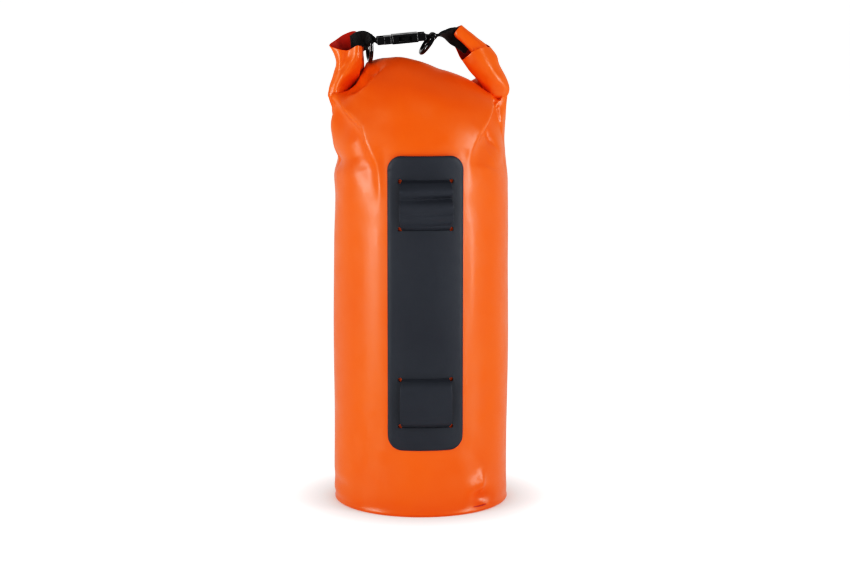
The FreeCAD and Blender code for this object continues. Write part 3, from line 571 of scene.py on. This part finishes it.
# ---- the rolled mouth: sleeves at both ends, band between
# Each station is one turn of the rolled fabric, listed from its free edge round to the layer inside.
LEFT_SLEEVE = [
    [(-52, 30, 440), (-54, 26.5, 430), (-54.5, 26.5, 424), (-55, 28, 421), (-55, 31, 419), (-55, 34, 421),
     (-53, 38, 430), (-51, 42, 440), (-50, 41, 447), (-50.5, 37, 445), (-53, 31, 434), (-54, 29, 425),
     (-54, 31, 422), (-53, 36, 430), (-52, 39, 438), (-51, 39, 443)],
    [(-59, 17, 440), (-73, 5, 425), (-77, 5, 420), (-79, 7, 415.5), (-79, 11, 415), (-77, 17, 418),
     (-70, 24, 428), (-62, 31, 438), (-56, 34, 447), (-57, 29, 444), (-66, 19, 433), (-73, 14.5, 424),
     (-75, 15, 420.5), (-70, 21, 427), (-64, 26.5, 434), (-59, 30, 442)],
    [(-65, 3, 437), (-82, -8, 424), (-88, -5, 421), (-92, -3, 419.5), (-93, 0, 419), (-90, 4, 420),
     (-80, 12, 428), (-68, 22, 436), (-57.5, 25, 447), (-60, 19, 443), (-77, 6, 431), (-87, 0, 427),
     (-88.5, 1.2, 426.5), (-80, 8.5, 427), (-72, 14, 432), (-63, 20, 441)],
    [(-64, -3, 441), (-83, -10.5, 432), (-89.5, -6.5, 429), (-93, -3.5, 428), (-94.3, -0.5, 427.5),
     (-91, 5, 429), (-80, 9, 436), (-68, 16, 442), (-58, 17, 448), (-61, 10, 445), (-76, -2, 437),
     (-87, -3.5, 431.5), (-88.5, -0.5, 431), (-82, 4.5, 432), (-73, 10, 437), (-64, 14, 443)],
    [(-63, -7, 445), (-78, -14.5, 443), (-84.5, -10, 442), (-88, -6, 442), (-89.5, -1, 443), (-86, 5, 444),
     (-78, 8, 446), (-67, 11, 448), (-58.5, 9, 450), (-61, 2, 447), (-72, -7.5, 444), (-83, -6.5, 441),
     (-86, -1.5, 441), (-81, 3.5, 441), (-72, 7, 444), (-63.5, 8, 447)],
    [(-61.5, -9, 453), (-70.5, -14.5, 455), (-79.5, -10, 453), (-84, -8, 453), (-86.5, -1, 455),
     (-82, 6, 457), (-75, 9, 458), (-65, 9.5, 459), (-59, 3, 457), (-60.5, -4, 455), (-68, -10.5, 453),
     (-77, -7, 451), (-82, -2, 452), (-78, 4, 453), (-70, 6, 455), (-62.5, 5.5, 456)],
    [(-61, -10, 463), (-67, -14.5, 463.5), (-76, -8.5, 461), (-83, -9, 461.5), (-88.5, -1, 464),
     (-83, 7, 467), (-76, 10, 470), (-65, 10.5, 471), (-59.3, 2, 466), (-60.5, -6, 462), (-66, -10, 458),
     (-75, -5.5, 455), (-82, -2, 455.5), (-79, 4.5, 457.5), (-70, 6.5, 460), (-62, 5.5, 460)],
    [(-61, -9, 472.3), (-66, -13.5, 473.3), (-74.5, -8, 468.4), (-84, -8, 469.5), (-93.5, 0, 473),
     (-86, 8, 478.5), (-77, 11, 484), (-66, 11, 486.3), (-59.3, 3, 476), (-60, -4.5, 470),
     (-66, -8.5, 462), (-74, -4, 458), (-82, -1.5, 458), (-79, 4.5, 461), (-70, 6.5, 464), (-62, 5.5, 464)],
]
RIGHT_SLEEVE = [
    [(54, 40, 424), (55, 43, 420.5), (54.5, 40, 416), (54, 33, 418), (53, 26, 421), (51, 17, 426),
     (50, 16.5, 431), (51, 24, 432.5), (53, 33, 429), (54, 38, 425)],
    [(75, 18, 419), (78, 15, 414.5), (77, 8, 413), (74, 4, 416), (67, 4, 423), (57.5, 8, 430),
     (56, 14, 436), (59, 22, 436), (66, 22, 429), (71, 19, 422)],
    [(84, 5, 421.5), (87, 0.3, 419.5), (84.5, -2.5, 419), (80, -5.5, 420), (71, -6.5, 422.5),
     (59.5, 3, 431), (58, 14, 438), (67, 17, 437), (78, 12, 430), (83, 6, 426)],
    [(85.5, 5, 430), (90.2, 0, 428), (87.5, -5.0, 427.5), (81.5, -8.0, 428), (70, -8.5, 427.5),
     (59, 0, 434.5), (60, 11, 440), (69, 13, 441), (79, 9, 438), (83, 5, 434)],
    [(81, 6, 444), (86.5, 0, 441), (83, -8.5, 439.5), (75.7, -12.5, 437.7), (64.5, -9.5, 434.5),
     (56.5, -1, 439), (61, 9, 443), (69, 11, 447), (77, 9, 448), (80, 5, 445)],
    [(73, 8, 456), (80, 0.5, 453), (74.5, -10.5, 450.5), (66.5, -14.5, 448.7), (56, -9.5, 443),
     (50, -1, 446.5), (53, 7, 452), (60, 10, 456), (67, 10, 459), (72, 5, 456)],
    [(68, 9, 466), (77, 1, 462), (69, -11, 460), (60, -15, 457), (50, -10, 451.5), (43.8, -1, 455),
     (44.5, 7, 461), (50, 10.5, 466), (60, 11, 469), (66, 6, 467)],
    [(62, 9, 476), (70.5, 2, 470.8), (63, -10, 471.3), (53.5, -13.5, 468), (46, -9, 461.5),
     (41.6, -1, 458.2), (37, 7, 467), (33, 10, 478), (46, 11.5, 481), (58, 7, 478)],
]
# The core of the roll comes out of the right sleeve: from deep inside to its tip.
RIGHT_CORE = [
    [(70, 3, 452), (74, -2, 455), (72, -7, 454), (66, -9, 449), (62, -5, 446), (63, 1, 447), (68, 3, 451),
     (70, -1, 452), (66, -5, 449)],
    [(66, 4, 465), (71, -1, 465), (68, -8, 462), (61, -10.5, 458), (56, -7, 456), (57, 1, 457),
     (63, 4, 462), (66, 0, 462), (62, -5, 459)],
    [(60, 5, 473), (65.5, -1, 473.4), (62, -9, 470), (56, -11, 466.5), (51.5, -8, 466), (51.5, 1, 467),
     (56, 5, 471), (60, 1, 471), (57, -5, 468)],
    [(51, 5, 480), (56, -1, 481.2), (53.5, -8.5, 479), (47.5, -10, 475), (44.5, -7, 473.6),
     (44.5, 2, 474.5), (48, 5.5, 478), (52, 1, 479), (49, -4, 476)],
    [(41, 4.5, 487), (45.5, -1, 489.5), (43.5, -7, 488), (39, -8.5, 484), (36, -6, 481.5),
     (35.8, 2, 481.5), (38, 5, 484.5), (42, 1, 487), (40, -3.5, 485)],
    [(37, 4, 491), (41, -1, 493), (39.5, -6, 492), (36, -7, 488.5), (33.8, -5, 485), (33.5, 1.5, 484.5),
     (35, 4, 487.5), (38, 1, 490.5), (36.5, -3, 489)],
]
# The band behind the crown, left to right: centre and lean of the flattened roll.
BAND_LINE = [(-62, 28, 433.5), (-54, 34, 433.5), (-40, 38.5, 434), (-20, 42.5, 434), (0, 43.5, 433.5),
             (20, 42, 431.5), (38, 37, 429), (52, 30.5, 426), (60, 26, 425.5)]
BAND_LEAN = [24, 28, 38, 48, 54, 60, 68, 72, 74]


def loft(stations, rows, cols):
    """A grid through stations of matching points."""
    lines = np.array([spline(s, cols, even=False) for s in stations])
    return np.array([spline(lines[:, c], rows, even=False) for c in range(cols)]).transpose(1, 0, 2)


def rumple(points, seed, amount, pitch):
    """Small soft unevenness along the sheet's own normals, none at its first and last rows."""
    along, across = np.gradient(points, axis=0), np.gradient(points, axis=1)
    v = np.cumsum(np.linalg.norm(along, axis=2), 0)
    u = np.cumsum(np.linalg.norm(across, axis=2), 1)
    hold = np.sin(np.linspace(0, math.pi, len(points)))[:, None] ** 0.5
    return points + unit(np.cross(across, along)) * (amount * waves(u, v, seed, pitch) * hold)[..., None]


def make_sleeve(name, stations, seed):
    grid = rumple(loft(stations, 84, 120), seed, 0.35, 22)
    # The sleeves' inner side takes the darker orange, which paints shade inside the rolled ends.
    return thicken(grid_object(name, grid), 0.9, 0.25, faces=(ORANGE_PAINTED_SHADE, ORANGE))


def band_section(turns, count, tall, thick, gap):
    """Points of a flattened spiral: across the thickness and along the height."""
    out = []
    flat = tall / 2 - thick / 2
    for t in np.linspace(0, turns * TAU, count):
        r = 1 - gap * t / TAU
        s = math.sin(t)
        out.append((thick / 2 * r * math.cos(t),
                    (flat * signed_power(s, 0.5) + thick / 2 * s) * (0.72 + 0.28 * r)))
    return out


def make_band():
    count = 90
    line = spline(BAND_LINE, count, even=False)
    section = band_section(2.3, 110, 28, 9, 0.26)
    grid = []
    for k, angle in enumerate(np.radians(spread(BAND_LEAN, count))):
        ahead = unit(ahead_of(line, k) * (1, 1, 0))
        back = np.array([-ahead[1], ahead[0], 0])
        tall = -back * math.sin(angle) + np.array([0, 0, math.cos(angle)])
        thick = back * math.cos(angle) + np.array([0, 0, math.sin(angle)])
        sag = 1 + 0.05 * math.sin(k * 0.31) + 0.04 * math.sin(k * 0.13 + 1)
        grid.append([line[k] + thick * p * sag + tall * q for p, q in section])
    return thicken(grid_object("mouth_roll", rumple(np.array(grid), 31, 0.55, 26)), 0.9, 0.2)


def make_stiffener():
    """A flat strip inside the band, a little shorter than it at both ends."""
    count = 60
    inner = slice(4, -6)
    grid = []
    for centre, angle in zip(spline(BAND_LINE, count, even=False)[inner],
                             np.radians(spread(BAND_LEAN, count)[inner])):
        tall = np.array([0, -math.sin(angle), math.cos(angle)])
        grid.append([centre + tall * q for q in np.linspace(-7, 7, 7)])
    return thicken(grid_object("mouth_stiffener", grid), 0.8, 0.2)


dress(make_band(), ORANGE, "bag", "orange_skin", "roll_middle")
dress(make_stiffener(), WEBBING, "bag", "webbing_black", "mouth_strip")
dress(make_sleeve("left_sleeve", LEFT_SLEEVE, 3), None, "left_arm", "orange_skin", "left_roll_end",
      blend=((-0.060, 0.026, 0.434), (-0.060, 0.002, 0.452)))
dress(make_sleeve("right_sleeve", RIGHT_SLEEVE, 4), None, "right_arm", "orange_skin", "right_roll_end",
      blend=((0.060, 0.022, 0.426), (0.060, 0.000, 0.444)))
dress(make_sleeve("right_roll_core", RIGHT_CORE, 5), None, "right_arm", "orange_skin")


# ---- back seam, base
def make_seam_tape():
    """A welded tape over the seam up the back, lying on the skin, closer to it at both edges."""
    low, high = 7, 398
    middle = int(round(SEGMENTS * 0.75))
    out = normals_of(skin)
    grid = []
    for i in range(len(skin)):
        if low < skin[i, middle, 2] < high:
            across = np.array([skin[i, middle + c] + out[i, middle + c] * (0.8 if abs(c) < 4 else 0.45)
                               for c in range(-4, 5)])
            grid.append(spline(across, 17, even=False))
    return thicken(grid_object("seam_tape", np.array(grid)), 0.5, 0.12)


def make_base():
    """The round base: a slightly sunk disc with a welded ring near its rim and a flange turned up inside."""
    profile = [(0.6, 1.5), (20, 1.5), (45, 1.4), (66, 1.1), (76, 0.8), (80, 0.5), (82, 0.9), (84, 0.5),
               (87, 0.15), (88.6, 0.5), (88.9, 2.5), (88.8, 6), (87.9, 6), (87.6, 2.6), (80, 2.4),
               (45, 2.6), (20, 2.7), (0.6, 2.7)]
    lowest = 0.02
    line = spline(profile, 70, even=False)
    grid = [[(r * math.cos(t), r * math.sin(t), max(z, lowest)) for t in circle(144)] for r, z in line]
    obj = grid_object("base_panel", grid, wrap_u=True)
    mesh = bmesh.new()
    mesh.from_mesh(obj.data)
    bmesh.ops.recalc_face_normals(mesh, faces=mesh.faces)
    mesh.to_mesh(obj.data)
    mesh.free()
    return obj


dress(make_seam_tape(), ORANGE_TAPE, "bag", "orange_skin", "back_seam_tape")
# The base takes the darker orange: painted shade under the bag.
dress(make_base(), ORANGE_PAINTED_SHADE, "bag", "orange_skin", "base_disc")


# ---- strap panel, loops and the strap behind it
PANEL_HALF, PANEL_LOW, PANEL_HIGH, PANEL_CORNER = 38.6, 70.5, 368.5, 14.0
PANEL_RADIUS, PANEL_SWELL = 90.35, 1.35
# the slits' heights, half their height, and the round relief holes at both their ends
SLITS = (95.0, 143.0, 296.0, 344.0)
SLIT_TALL, HOLE_AT, HOLE_R = 1.3, 25.6, 2.1
# distances round the front are measured at this radius, and a strap stands off the panel beyond the other
WRAP_RADIUS, STRAP_OFF = 91.0, 92.5


def panel_outlines():
    """The panel's rounded rectangle and its slits with their relief holes, as closed lines in the flat."""
    corners = []
    for cx, cz, turn in ((1, 1, 0), (-1, 1, 90), (-1, -1, 180), (1, -1, 270)):
        for t in np.radians(np.linspace(turn, turn + 90, 13)):
            x = cx * (PANEL_HALF - PANEL_CORNER) + PANEL_CORNER * math.cos(t)
            z = (PANEL_HIGH if cz > 0 else PANEL_LOW) - cz * PANEL_CORNER + PANEL_CORNER * math.sin(t)
            corners.append((x, z))
    outlines = [corners]
    side = math.degrees(math.asin(SLIT_TALL / HOLE_R))
    turns = np.radians(np.linspace(side - 180, 180 - side, 17))
    for z in SLITS:
        right = [(HOLE_AT + HOLE_R * math.cos(t), z + HOLE_R * math.sin(t)) for t in turns]
        outlines.append(right + [(-x, 2 * z - zz) for x, zz in right])
    return outlines


def filled(outlines):
    """A flat mesh inside the first outline and outside the others."""
    flat = bpy.data.curves.new("outline", "CURVE")
    flat.dimensions = "2D"
    flat.fill_mode = "BOTH"
    for points in outlines:
        line = flat.splines.new("POLY")
        line.points.add(len(points) - 1)
        for p, (x, z) in zip(line.points, points):
            p.co = (x, z, 0, 1)
        line.use_cyclic_u = True
    carrier = new_object("outline", flat)
    mesh = evaluated_mesh(carrier)
    bpy.data.objects.remove(carrier)
    return mesh


def make_panel():
    """The flat panel, cut into small faces and bent round the tube, and lower at its rim."""
    cut = bmesh.new()
    cut.from_mesh(filled(panel_outlines()))
    bmesh.ops.remove_doubles(cut, verts=cut.verts, dist=0.001)
    inset = 1.6
    upright = list(np.arange(-37, 38, 2.0)) + [inset - PANEL_HALF, PANEL_HALF - inset]
    level = list(np.arange(74, 368, 7.0)) + [PANEL_LOW + inset, PANEL_HIGH - inset]
    lines = [((x, 0, 0), (1, 0, 0)) for x in upright] + [((0, z, 0), (0, 1, 0)) for z in level]
    for place, across in lines:
        parts = cut.verts[:] + cut.edges[:] + cut.faces[:]
        bmesh.ops.bisect_plane(cut, geom=parts, dist=1e-5, plane_co=place, plane_no=across)
    cut.verts.index_update()
    flat_at = [(v.co.x, v.co.y) for v in cut.verts]
    faces = [[v.index for v in face.verts][::-1 if face.normal.z < 0 else 1] for face in cut.faces]
    cut.free()
    verts = []
    for s, z in flat_at:
        dx = max(abs(s) - (PANEL_HALF - PANEL_CORNER), 0)
        dz = max(PANEL_LOW + PANEL_CORNER - z, z - (PANEL_HIGH - PANEL_CORNER), 0)
        rim = PANEL_CORNER - math.hypot(dx, dz)
        r = PANEL_RADIUS + PANEL_SWELL * (1 - math.exp(-max(rim, 0) / 1.1))
        a = s / WRAP_RADIUS
        verts.append((r * math.sin(a), -r * math.cos(a), z))
    uvs = [(flat_at[i][0] * MM, flat_at[i][1] * MM) for face in faces for i in face]
    return thicken(make_object("strap_panel", verts, faces, uvs), 1.0, 0.28, offset=1.0)


def strap_grid(profile, half, rows=110, folds=()):
    """A strap seen from the side as (z, r) points. It follows the tube at its ends and flattens where it
    stands off. folds are (z, depth, width, slope across) dents in it."""
    flatten = 0.55
    grid = []
    for z, r in spline(profile, rows):
        off = min(max((r - STRAP_OFF) / 9.0, 0), 1)
        row = []
        for s in np.linspace(-half, half, 25):
            rr = r
            for at, depth, width, slope in folds:
                rr -= off * depth * (1 + slope * s / half) * math.exp(-((z - at - 0.04 * s) / width) ** 2)
            a = s / WRAP_RADIUS
            y = -rr * math.cos(a) - flatten * off * rr * (1 - math.cos(a))
            row.append((rr * math.sin(a), y, z))
        grid.append(row)
    return np.array(grid)


LOWER_LOOP = [(88, 90.9), (93, 91.2), (95, 92.6), (96.6, 95.6), (99.5, 98.8), (106, 100.9), (114, 101.8),
              (122, 101.9), (130, 101.2), (137, 99.4), (141, 96.2), (143, 92.6), (145, 91.2), (150, 90.9)]
LOWER_FOLDS = [(118, 0.5, 9.0, 0.4)]
UPPER_LOOP = [(289, 90.9), (294, 91.2), (296, 92.6), (297.4, 95.2), (299, 97.4), (301.5, 99.2),
              (304.5, 101.6), (308.5, 103.1), (311.3, 103.9), (314, 103.4), (319, 104.6), (323, 103.2),
              (327, 101.0), (331, 101.8), (335, 101.9), (339, 100.0), (342.4, 96.6), (344, 92.6),
              (346, 91.2), (351, 90.9)]
UPPER_FOLDS = [(327, 2.4, 3.0, 0.8), (299.5, 1.2, 2.0, 0.4), (311.6, 0.8, 1.2, 0.1), (336, -0.6, 4, -0.3)]


def make_loop(name, profile, folds):
    return thicken(grid_object(name, strap_grid(profile, 24.0, folds=folds)), 1.1, 0.3)


def make_hidden_strap():
    """The strap behind the panel: a tail below, a run between the loops and a tail above."""
    pieces = []
    for heights in ((72, 80, 90), (148, 200, 291), (349, 356, 366)):
        run = strap_grid([(z, 90.75) for z in heights], 23.0, rows=24)
        pieces.append(thicken(grid_object("run", run), 0.7, 0.15))
    return join("hidden_strap", pieces)


dress(make_panel(), PANEL, "bag", "panel_black", "mount_panel")
dress(make_loop("upper_strap_loop", UPPER_LOOP, UPPER_FOLDS), PANEL, "bag", "panel_black", "upper_loop")
dress(make_loop("lower_strap_loop", LOWER_LOOP, LOWER_FOLDS), PANEL, "bag", "panel_black", "lower_loop")
dress(make_hidden_strap(), PANEL, "bag", "panel_black", "strap_behind_panel", "strap_lower_tail",
      "strap_upper_tail")


# ---- webbing from the sleeves to the buckle
# where the rings' and the buckle's bars lie inside the webbing, (x, z)
LEFT_RING, RIGHT_RING = (-52.5, 476.8), (12.2, 482.4)
MALE_BAR, FEMALE_BAR = (-43.6, 477.6), (2.2, 481.93)
# (x, y, z, lean of the width from lying flat, in degrees, width); the last one is over the bar
LEFT_WEBBING = [(-71, 2, 473, 88, 20), (-67.5, 0.5, 473.5, 88, 20), (-63.5, -1.5, 476.2, 84, 21),
                (-58.5, -2.5, 478.4, 68, 20), (-52.5, -1.5, 476.8, 24, 19), (-48, 0, 477.2, 4, 19.5),
                (-43.6, 0, 477.6, 0, 20)]
RIGHT_WEBBING = [(50, 1, 471.5, 100, 19), (44.5, 0, 475.5, 96, 19), (38, -1, 480.2, 84, 19.5),
                 (32, -1.5, 482.4, 62, 19.5), (25, -1, 483.2, 26, 19.5), (18.5, 0, 483, 4, 20),
                 (12.2, 0, 482.4, 0, 20), (6, 0, 482, 0, 20), (2.2, 0, 481.93, 0, 20)]


def make_webbing(name, stations, bar, ring):
    """Folded webbing: the upper layer runs to the bar, round it and back below, with the ring's bar between
    the layers. It comes with the rows of its upper layer."""
    count, cols = 64, 9
    apart, ring_gap, bar_gap = 0.8, 1.9, 2.75
    line = spline([s[:3] for s in stations], count, even=False)
    lean = spread([s[3] for s in stations], count)
    wide = spread([s[4] for s in stations], count)
    across = np.linspace(-0.5, 0.5, cols)
    upper, lower = [], []
    for k in range(count):
        ahead = unit(ahead_of(line, k))
        a = math.radians(lean[k])
        side = np.array([0, -math.cos(a), math.sin(a)])
        side = unit(side - ahead * side.dot(ahead))
        n = np.cross(side, ahead)
        # the upper layer lies upwards where the webbing lies flat, and to the front where it stands on edge
        lying = abs(lean[k]) < 60
        if (n[2] < 0) if lying else (n[1] > 0):
            n = -n
        gap = apart + ring_gap * math.exp(-((line[k][0] - ring[0]) / 2.6) ** 4)
        gap += (bar_gap - apart) * math.exp(-((line[k][0] - bar[0]) / 2.4) ** 2)
        cup = 0.35 * math.sin(k * 0.23)
        upper.append([line[k] + n * (gap + cup * (4 * t * t - 0.3)) + side * wide[k] * t for t in across])
        lower.append([line[k] - n * (gap - cup * (4 * t * t - 0.3)) + side * wide[k] * t for t in across])
    turn = []
    up_dir = unit(upper[-1][cols // 2] - line[-1])
    for t in np.linspace(0, math.pi, 11)[1:-1]:
        middle = line[-1] + up_dir * bar_gap * math.cos(t) + ahead * bar_gap * math.sin(t)
        turn.append([middle + side * wide[-1] * u for u in across])
    grid = np.array(upper + turn + lower[::-1])
    return thicken(grid_object(name, grid), 1.35, 0.3), np.array(upper)


def make_stitches(name, places):
    """Short raised threads: small arched ridges between two points, standing off along a direction."""
    pieces = []
    for a, b, out in places:
        side = unit(np.cross(b - a, out))
        rows = []
        for t in np.linspace(0, 1, 7):
            r = 0.26 * math.sin(math.pi * (0.08 + 0.84 * t)) ** 0.5
            middle = a + (b - a) * t + out * (0.30 * math.sin(math.pi * t) - 0.12)
            rows.append([middle + (side * math.cos(q) + out * math.sin(q)) * r for q in circle(8)])
        pieces.append(grid_object("stitch", rows, wrap_u=True, cap=True))
    return join(name, pieces)


def bar_tacks(layer, rows, outward):
    """Dense slanting threads across a strap at some of its rows of points."""
    count = 11
    places = []
    for row in rows:
        edge, width = layer[row][0], layer[row][-1] - layer[row][0]
        middle = layer.shape[1] // 2
        step = 0.9 * unit(layer[row + 1][middle] - layer[row][middle])
        for t in np.linspace(0.1, 0.9, count):
            spot = edge + width * t
            places.append((spot - step, spot + step + width * 0.035, np.array(outward, float)))
    return places


# side, stations, buckle's bar, ring's bar, and the bar tacks' rows and the way they face
SIDES = [("left", LEFT_WEBBING, MALE_BAR, LEFT_RING, (24, 29), (0.1, -0.9, 0.3)),
         ("right", RIGHT_WEBBING, FEMALE_BAR, RIGHT_RING, (30, 35), (0.0, -0.35, 0.93))]
stitchings = []
for side, stations, bar, ring, rows, outward in SIDES:
    webbing, upper_layer = make_webbing(side + "_webbing", stations, bar, ring)
    dress(webbing, WEBBING, side + "_arm", "webbing_black", side + "_strap")
    stitchings.append((side, bar_tacks(upper_layer, rows, outward)))
for side, threads in stitchings:
    stitching = make_stitches(side + "_stitching", threads)
    dress(stitching, THREAD, side + "_arm", "thread_black", side + "_bar_tacks")


# ---- rings and buckle
def make_ring(name, spot, swing, twist, leg, swell):
    """A moulded D-ring: a bar in the webbing's fold, two legs and a round bow, with a fine parting line. Legs
    and bow are thicker than the bar by the share swell."""
    radius, half, corner = 1.9, 12.5, 2.0
    line = [(0, y, 0) for y in np.linspace(corner - half, half - corner, 12)]
    bend = np.linspace(0.2, math.pi / 2, 6)
    straight = np.linspace(3, leg, 5)
    line += [(0, half - corner + corner * math.sin(t), corner * math.cos(t) - corner) for t in bend]
    line += [(0, half, -z) for z in straight]
    line += [(0, half * math.cos(t), -leg - half * math.sin(t)) for t in np.linspace(0.1, math.pi - 0.1, 30)]
    line += [(0, -half, -z) for z in straight[::-1]]
    line += [(0, corner - half - corner * math.sin(t), corner * math.cos(t) - corner) for t in bend[::-1]]
    line = np.array(line)
    flat = np.array([1.0, 0, 0])
    grid = []
    for p, ahead in zip(line, unit(np.roll(line, -1, 0) - np.roll(line, 1, 0))):
        n = np.cross(ahead, flat)
        thick = radius * (1 + swell * smooth((-p[2] - 3) / 4))
        grid.append([p + (n * math.cos(t) + flat * math.sin(t)) * thick * (1 + 0.055 * abs(math.cos(t)) ** 60)
                     for t in circle(32)])
    grid = turned_to(grid, spot, (swing, "Y"), (twist, "Z"))
    return grid_object(name, grid, wrap_u=True, wrap_v=True)


def make_rails(name, spot, first, last):
    """The two side rails of a buckle half's frame, either side of its strap bar, as rounded bars along it."""
    apart, half_wide, half_tall, lean = 12.75, 1.3, 3.9, -5.4
    pieces = []
    for side in (-1, 1):
        grid = []
        for x in np.linspace(first, last, 15):
            tip = 1 - abs((x - first) / (last - first) * 2 - 1) ** 8
            size = 0.55 * max(tip, 0.0) ** 0.5 + 0.45
            grid.append([(x, side * apart + half_wide * size * signed_power(math.cos(t), 0.4),
                          half_tall * size * signed_power(math.sin(t), 0.4)) for t in circle(40)])
        pieces.append(grid_object("rail", turned_to(grid, spot, (lean, "Y")), wrap_u=True, cap=True))
    return join(name, pieces)


def refined(node, name, bevel):
    """A moulded part: the CAD part's own shape with its duplicate points merged and its edges rounded."""
    mesh = bmesh.new()
    mesh.from_mesh(nodes[node].data)
    bmesh.ops.remove_doubles(mesh, verts=mesh.verts, dist=1e-6)
    bmesh.ops.dissolve_limit(mesh, angle_limit=math.radians(1), verts=mesh.verts, edges=mesh.edges)
    data = bpy.data.meshes.new(name)
    mesh.to_mesh(data)
    mesh.free()
    data.shade_smooth()
    obj = new_object(name, data)
    round_edges(obj, bevel, 3, 32).harden_normals = True
    return settle(obj)


dress(make_ring("left_ring_moulded", LEFT_RING, 0, 8, 7.0, 0.08), RING, "left_ring", "ring_black",
      "left_d_ring")
dress(make_ring("right_ring_moulded", RIGHT_RING, 35, 5, 8.5, 0.22), RING, "right_ring", "ring_black",
      "right_d_ring")
dress(make_rails("male_rails", MALE_BAR, -2.0, 6.5), BUCKLE, "male_half", "buckle_black")
dress(make_rails("female_rails", FEMALE_BAR, -6.5, 2.6), BUCKLE, "female_half", "buckle_black")
for node, name, on_body, edge in (("buckle_male", "male_half_moulded", "male_half", 0.45),
                                  ("buckle_female", "female_half_moulded", "female_half", 0.55),
                                  ("front_prong", "front_prong_moulded", "front_latch", 0.3),
                                  ("rear_prong", "rear_prong_moulded", "rear_latch", 0.3)):
    dress(refined(node, name, edge), BUCKLE, on_body, "buckle_black", node)


# ---- stage, light and camera
def make_floor():
    """A pale floor. It glows a little, less under and round the bag, so that the real shadow at its foot
    shows; the lower glow there also paints a shadow.
    """
    far = 40000
    corners = [(-far, -far, 0), (far, -far, 0), (far, far, 0), (-far, far, 0)]
    floor = make_object("floor", corners, [(0, 1, 2, 3)])
    pale, paint, shader = principled("pale_floor", (0.80, 0.80, 0.80), 0.8, Emission_Color=(1, 1, 1, 1),
                                     Specular_IOR_Level=0.0)
    place = add_node(paint, "TexCoord").outputs["Object"]
    away = add_node(paint, "VectorMath", {0: place}, operation="LENGTH").outputs["Value"]
    # Painted shadow: the glow falls from 0.66 to 0.1 within 0.135 m of the bag's axis.
    paint.links.new(map_range(paint, away, (0.085, 0.135), (0.1, 0.66)), shader.inputs["Emission Strength"])
    floor.data.materials.append(pale)
    floor.visible_glossy = False


def make_world():
    """White all round, dimmer overhead, and much dimmer in reflections towards the front."""
    world = bpy.data.worlds.new("studio")
    bpy.context.scene.world = world
    world.use_nodes = True
    sky = world.node_tree
    facing = add_node(sky, "TexCoord").outputs["Generated"]
    split = add_node(sky, "SeparateXYZ", {0: facing})
    bright = map_range(sky, split.outputs[2], (0.1, 0.9), (0.55, 0.30))
    mirrored = add_node(sky, "LightPath").outputs["Is Glossy Ray"]
    behind = map_range(sky, split.outputs[1], (-0.1, 0.6), (0.12, 1.0))
    dim = map_range(sky, mirrored, (0.0, 1.0), (1.0, behind))
    sky.links.new(math_node(sky, "MULTIPLY", bright, dim), sky.nodes["Background"].inputs["Strength"])
    sky.nodes["Background"].inputs["Color"].default_value = (1, 1, 1, 1)


def area_light(name, place, target, width, height, radiance):
    """A soft rectangular light; its power follows from its size and how bright its face is."""
    data = bpy.data.lights.new(name, "AREA")
    data.shape = "RECTANGLE"
    data.size, data.size_y = width, height
    data.energy = radiance * math.pi * width * height
    obj = new_object(name, data)
    obj.location = place
    obj.rotation_euler = (Vector(target) - Vector(place)).to_track_quat("-Z", "Y").to_euler()
    return obj


def make_camera():
    """A long lens a little to the left of the front, looking slightly down at the bag's middle."""
    distance, height = 2.5, 0.65
    azimuth, down = math.radians(-3.0), math.radians(9.3)
    lens = bpy.data.cameras.new("camera")
    lens.lens = 103.553
    lens.shift_x, lens.shift_y = 0.004706, -0.016353
    camera = new_object("camera", lens)
    camera.location = (distance * math.sin(azimuth), -distance * math.cos(azimuth), height)
    camera.rotation_euler = (math.pi / 2 - down, 0, azimuth)
    bpy.context.scene.camera = camera


def set_view():
    """Slightly bright, with a mild contrast curve."""
    view = bpy.context.scene.view_settings
    view.view_transform = "Standard"
    view.exposure = 0.05
    view.use_curve_mapping = True
    combined = view.curve_mapping.curves[3]
    for level in ((0.03, 0.012), (0.08, 0.053), (0.14, 0.125), (0.32, 0.36), (0.6, 0.72), (0.8, 0.86)):
        combined.points.new(*level)
    view.curve_mapping.update()


# name, place, target, width, height, brightness of the face, and the kind of ray that doesn't see the light
LIGHTS = [("key", (1.6, -1.0, 0.95), (0, 0, 0.24), 0.6, 0.9, 7.0, "visible_glossy"),
          ("front", (-1.7, -1.1, 0.9), (0, 0, 0.2), 0.9, 0.9, 5.2, "visible_glossy"),
          ("strip_right", (1.36, -0.72, 0.46), (0, 0, 0.41), 0.24, 0.86, 18, "visible_diffuse"),
          ("strip_left", (-1.42, -0.60, 0.46), (0, 0, 0.41), 0.24, 0.86, 18, "visible_diffuse"),
          ("sparkle", (0.25, -1.4, 2.0), (0, 0, 0.45), 0.25, 0.25, 5, "visible_diffuse")]

make_floor()
make_world()
for *light, unseen_by in LIGHTS:
    setattr(area_light(*light), unseen_by, False)
make_camera()
set_view()
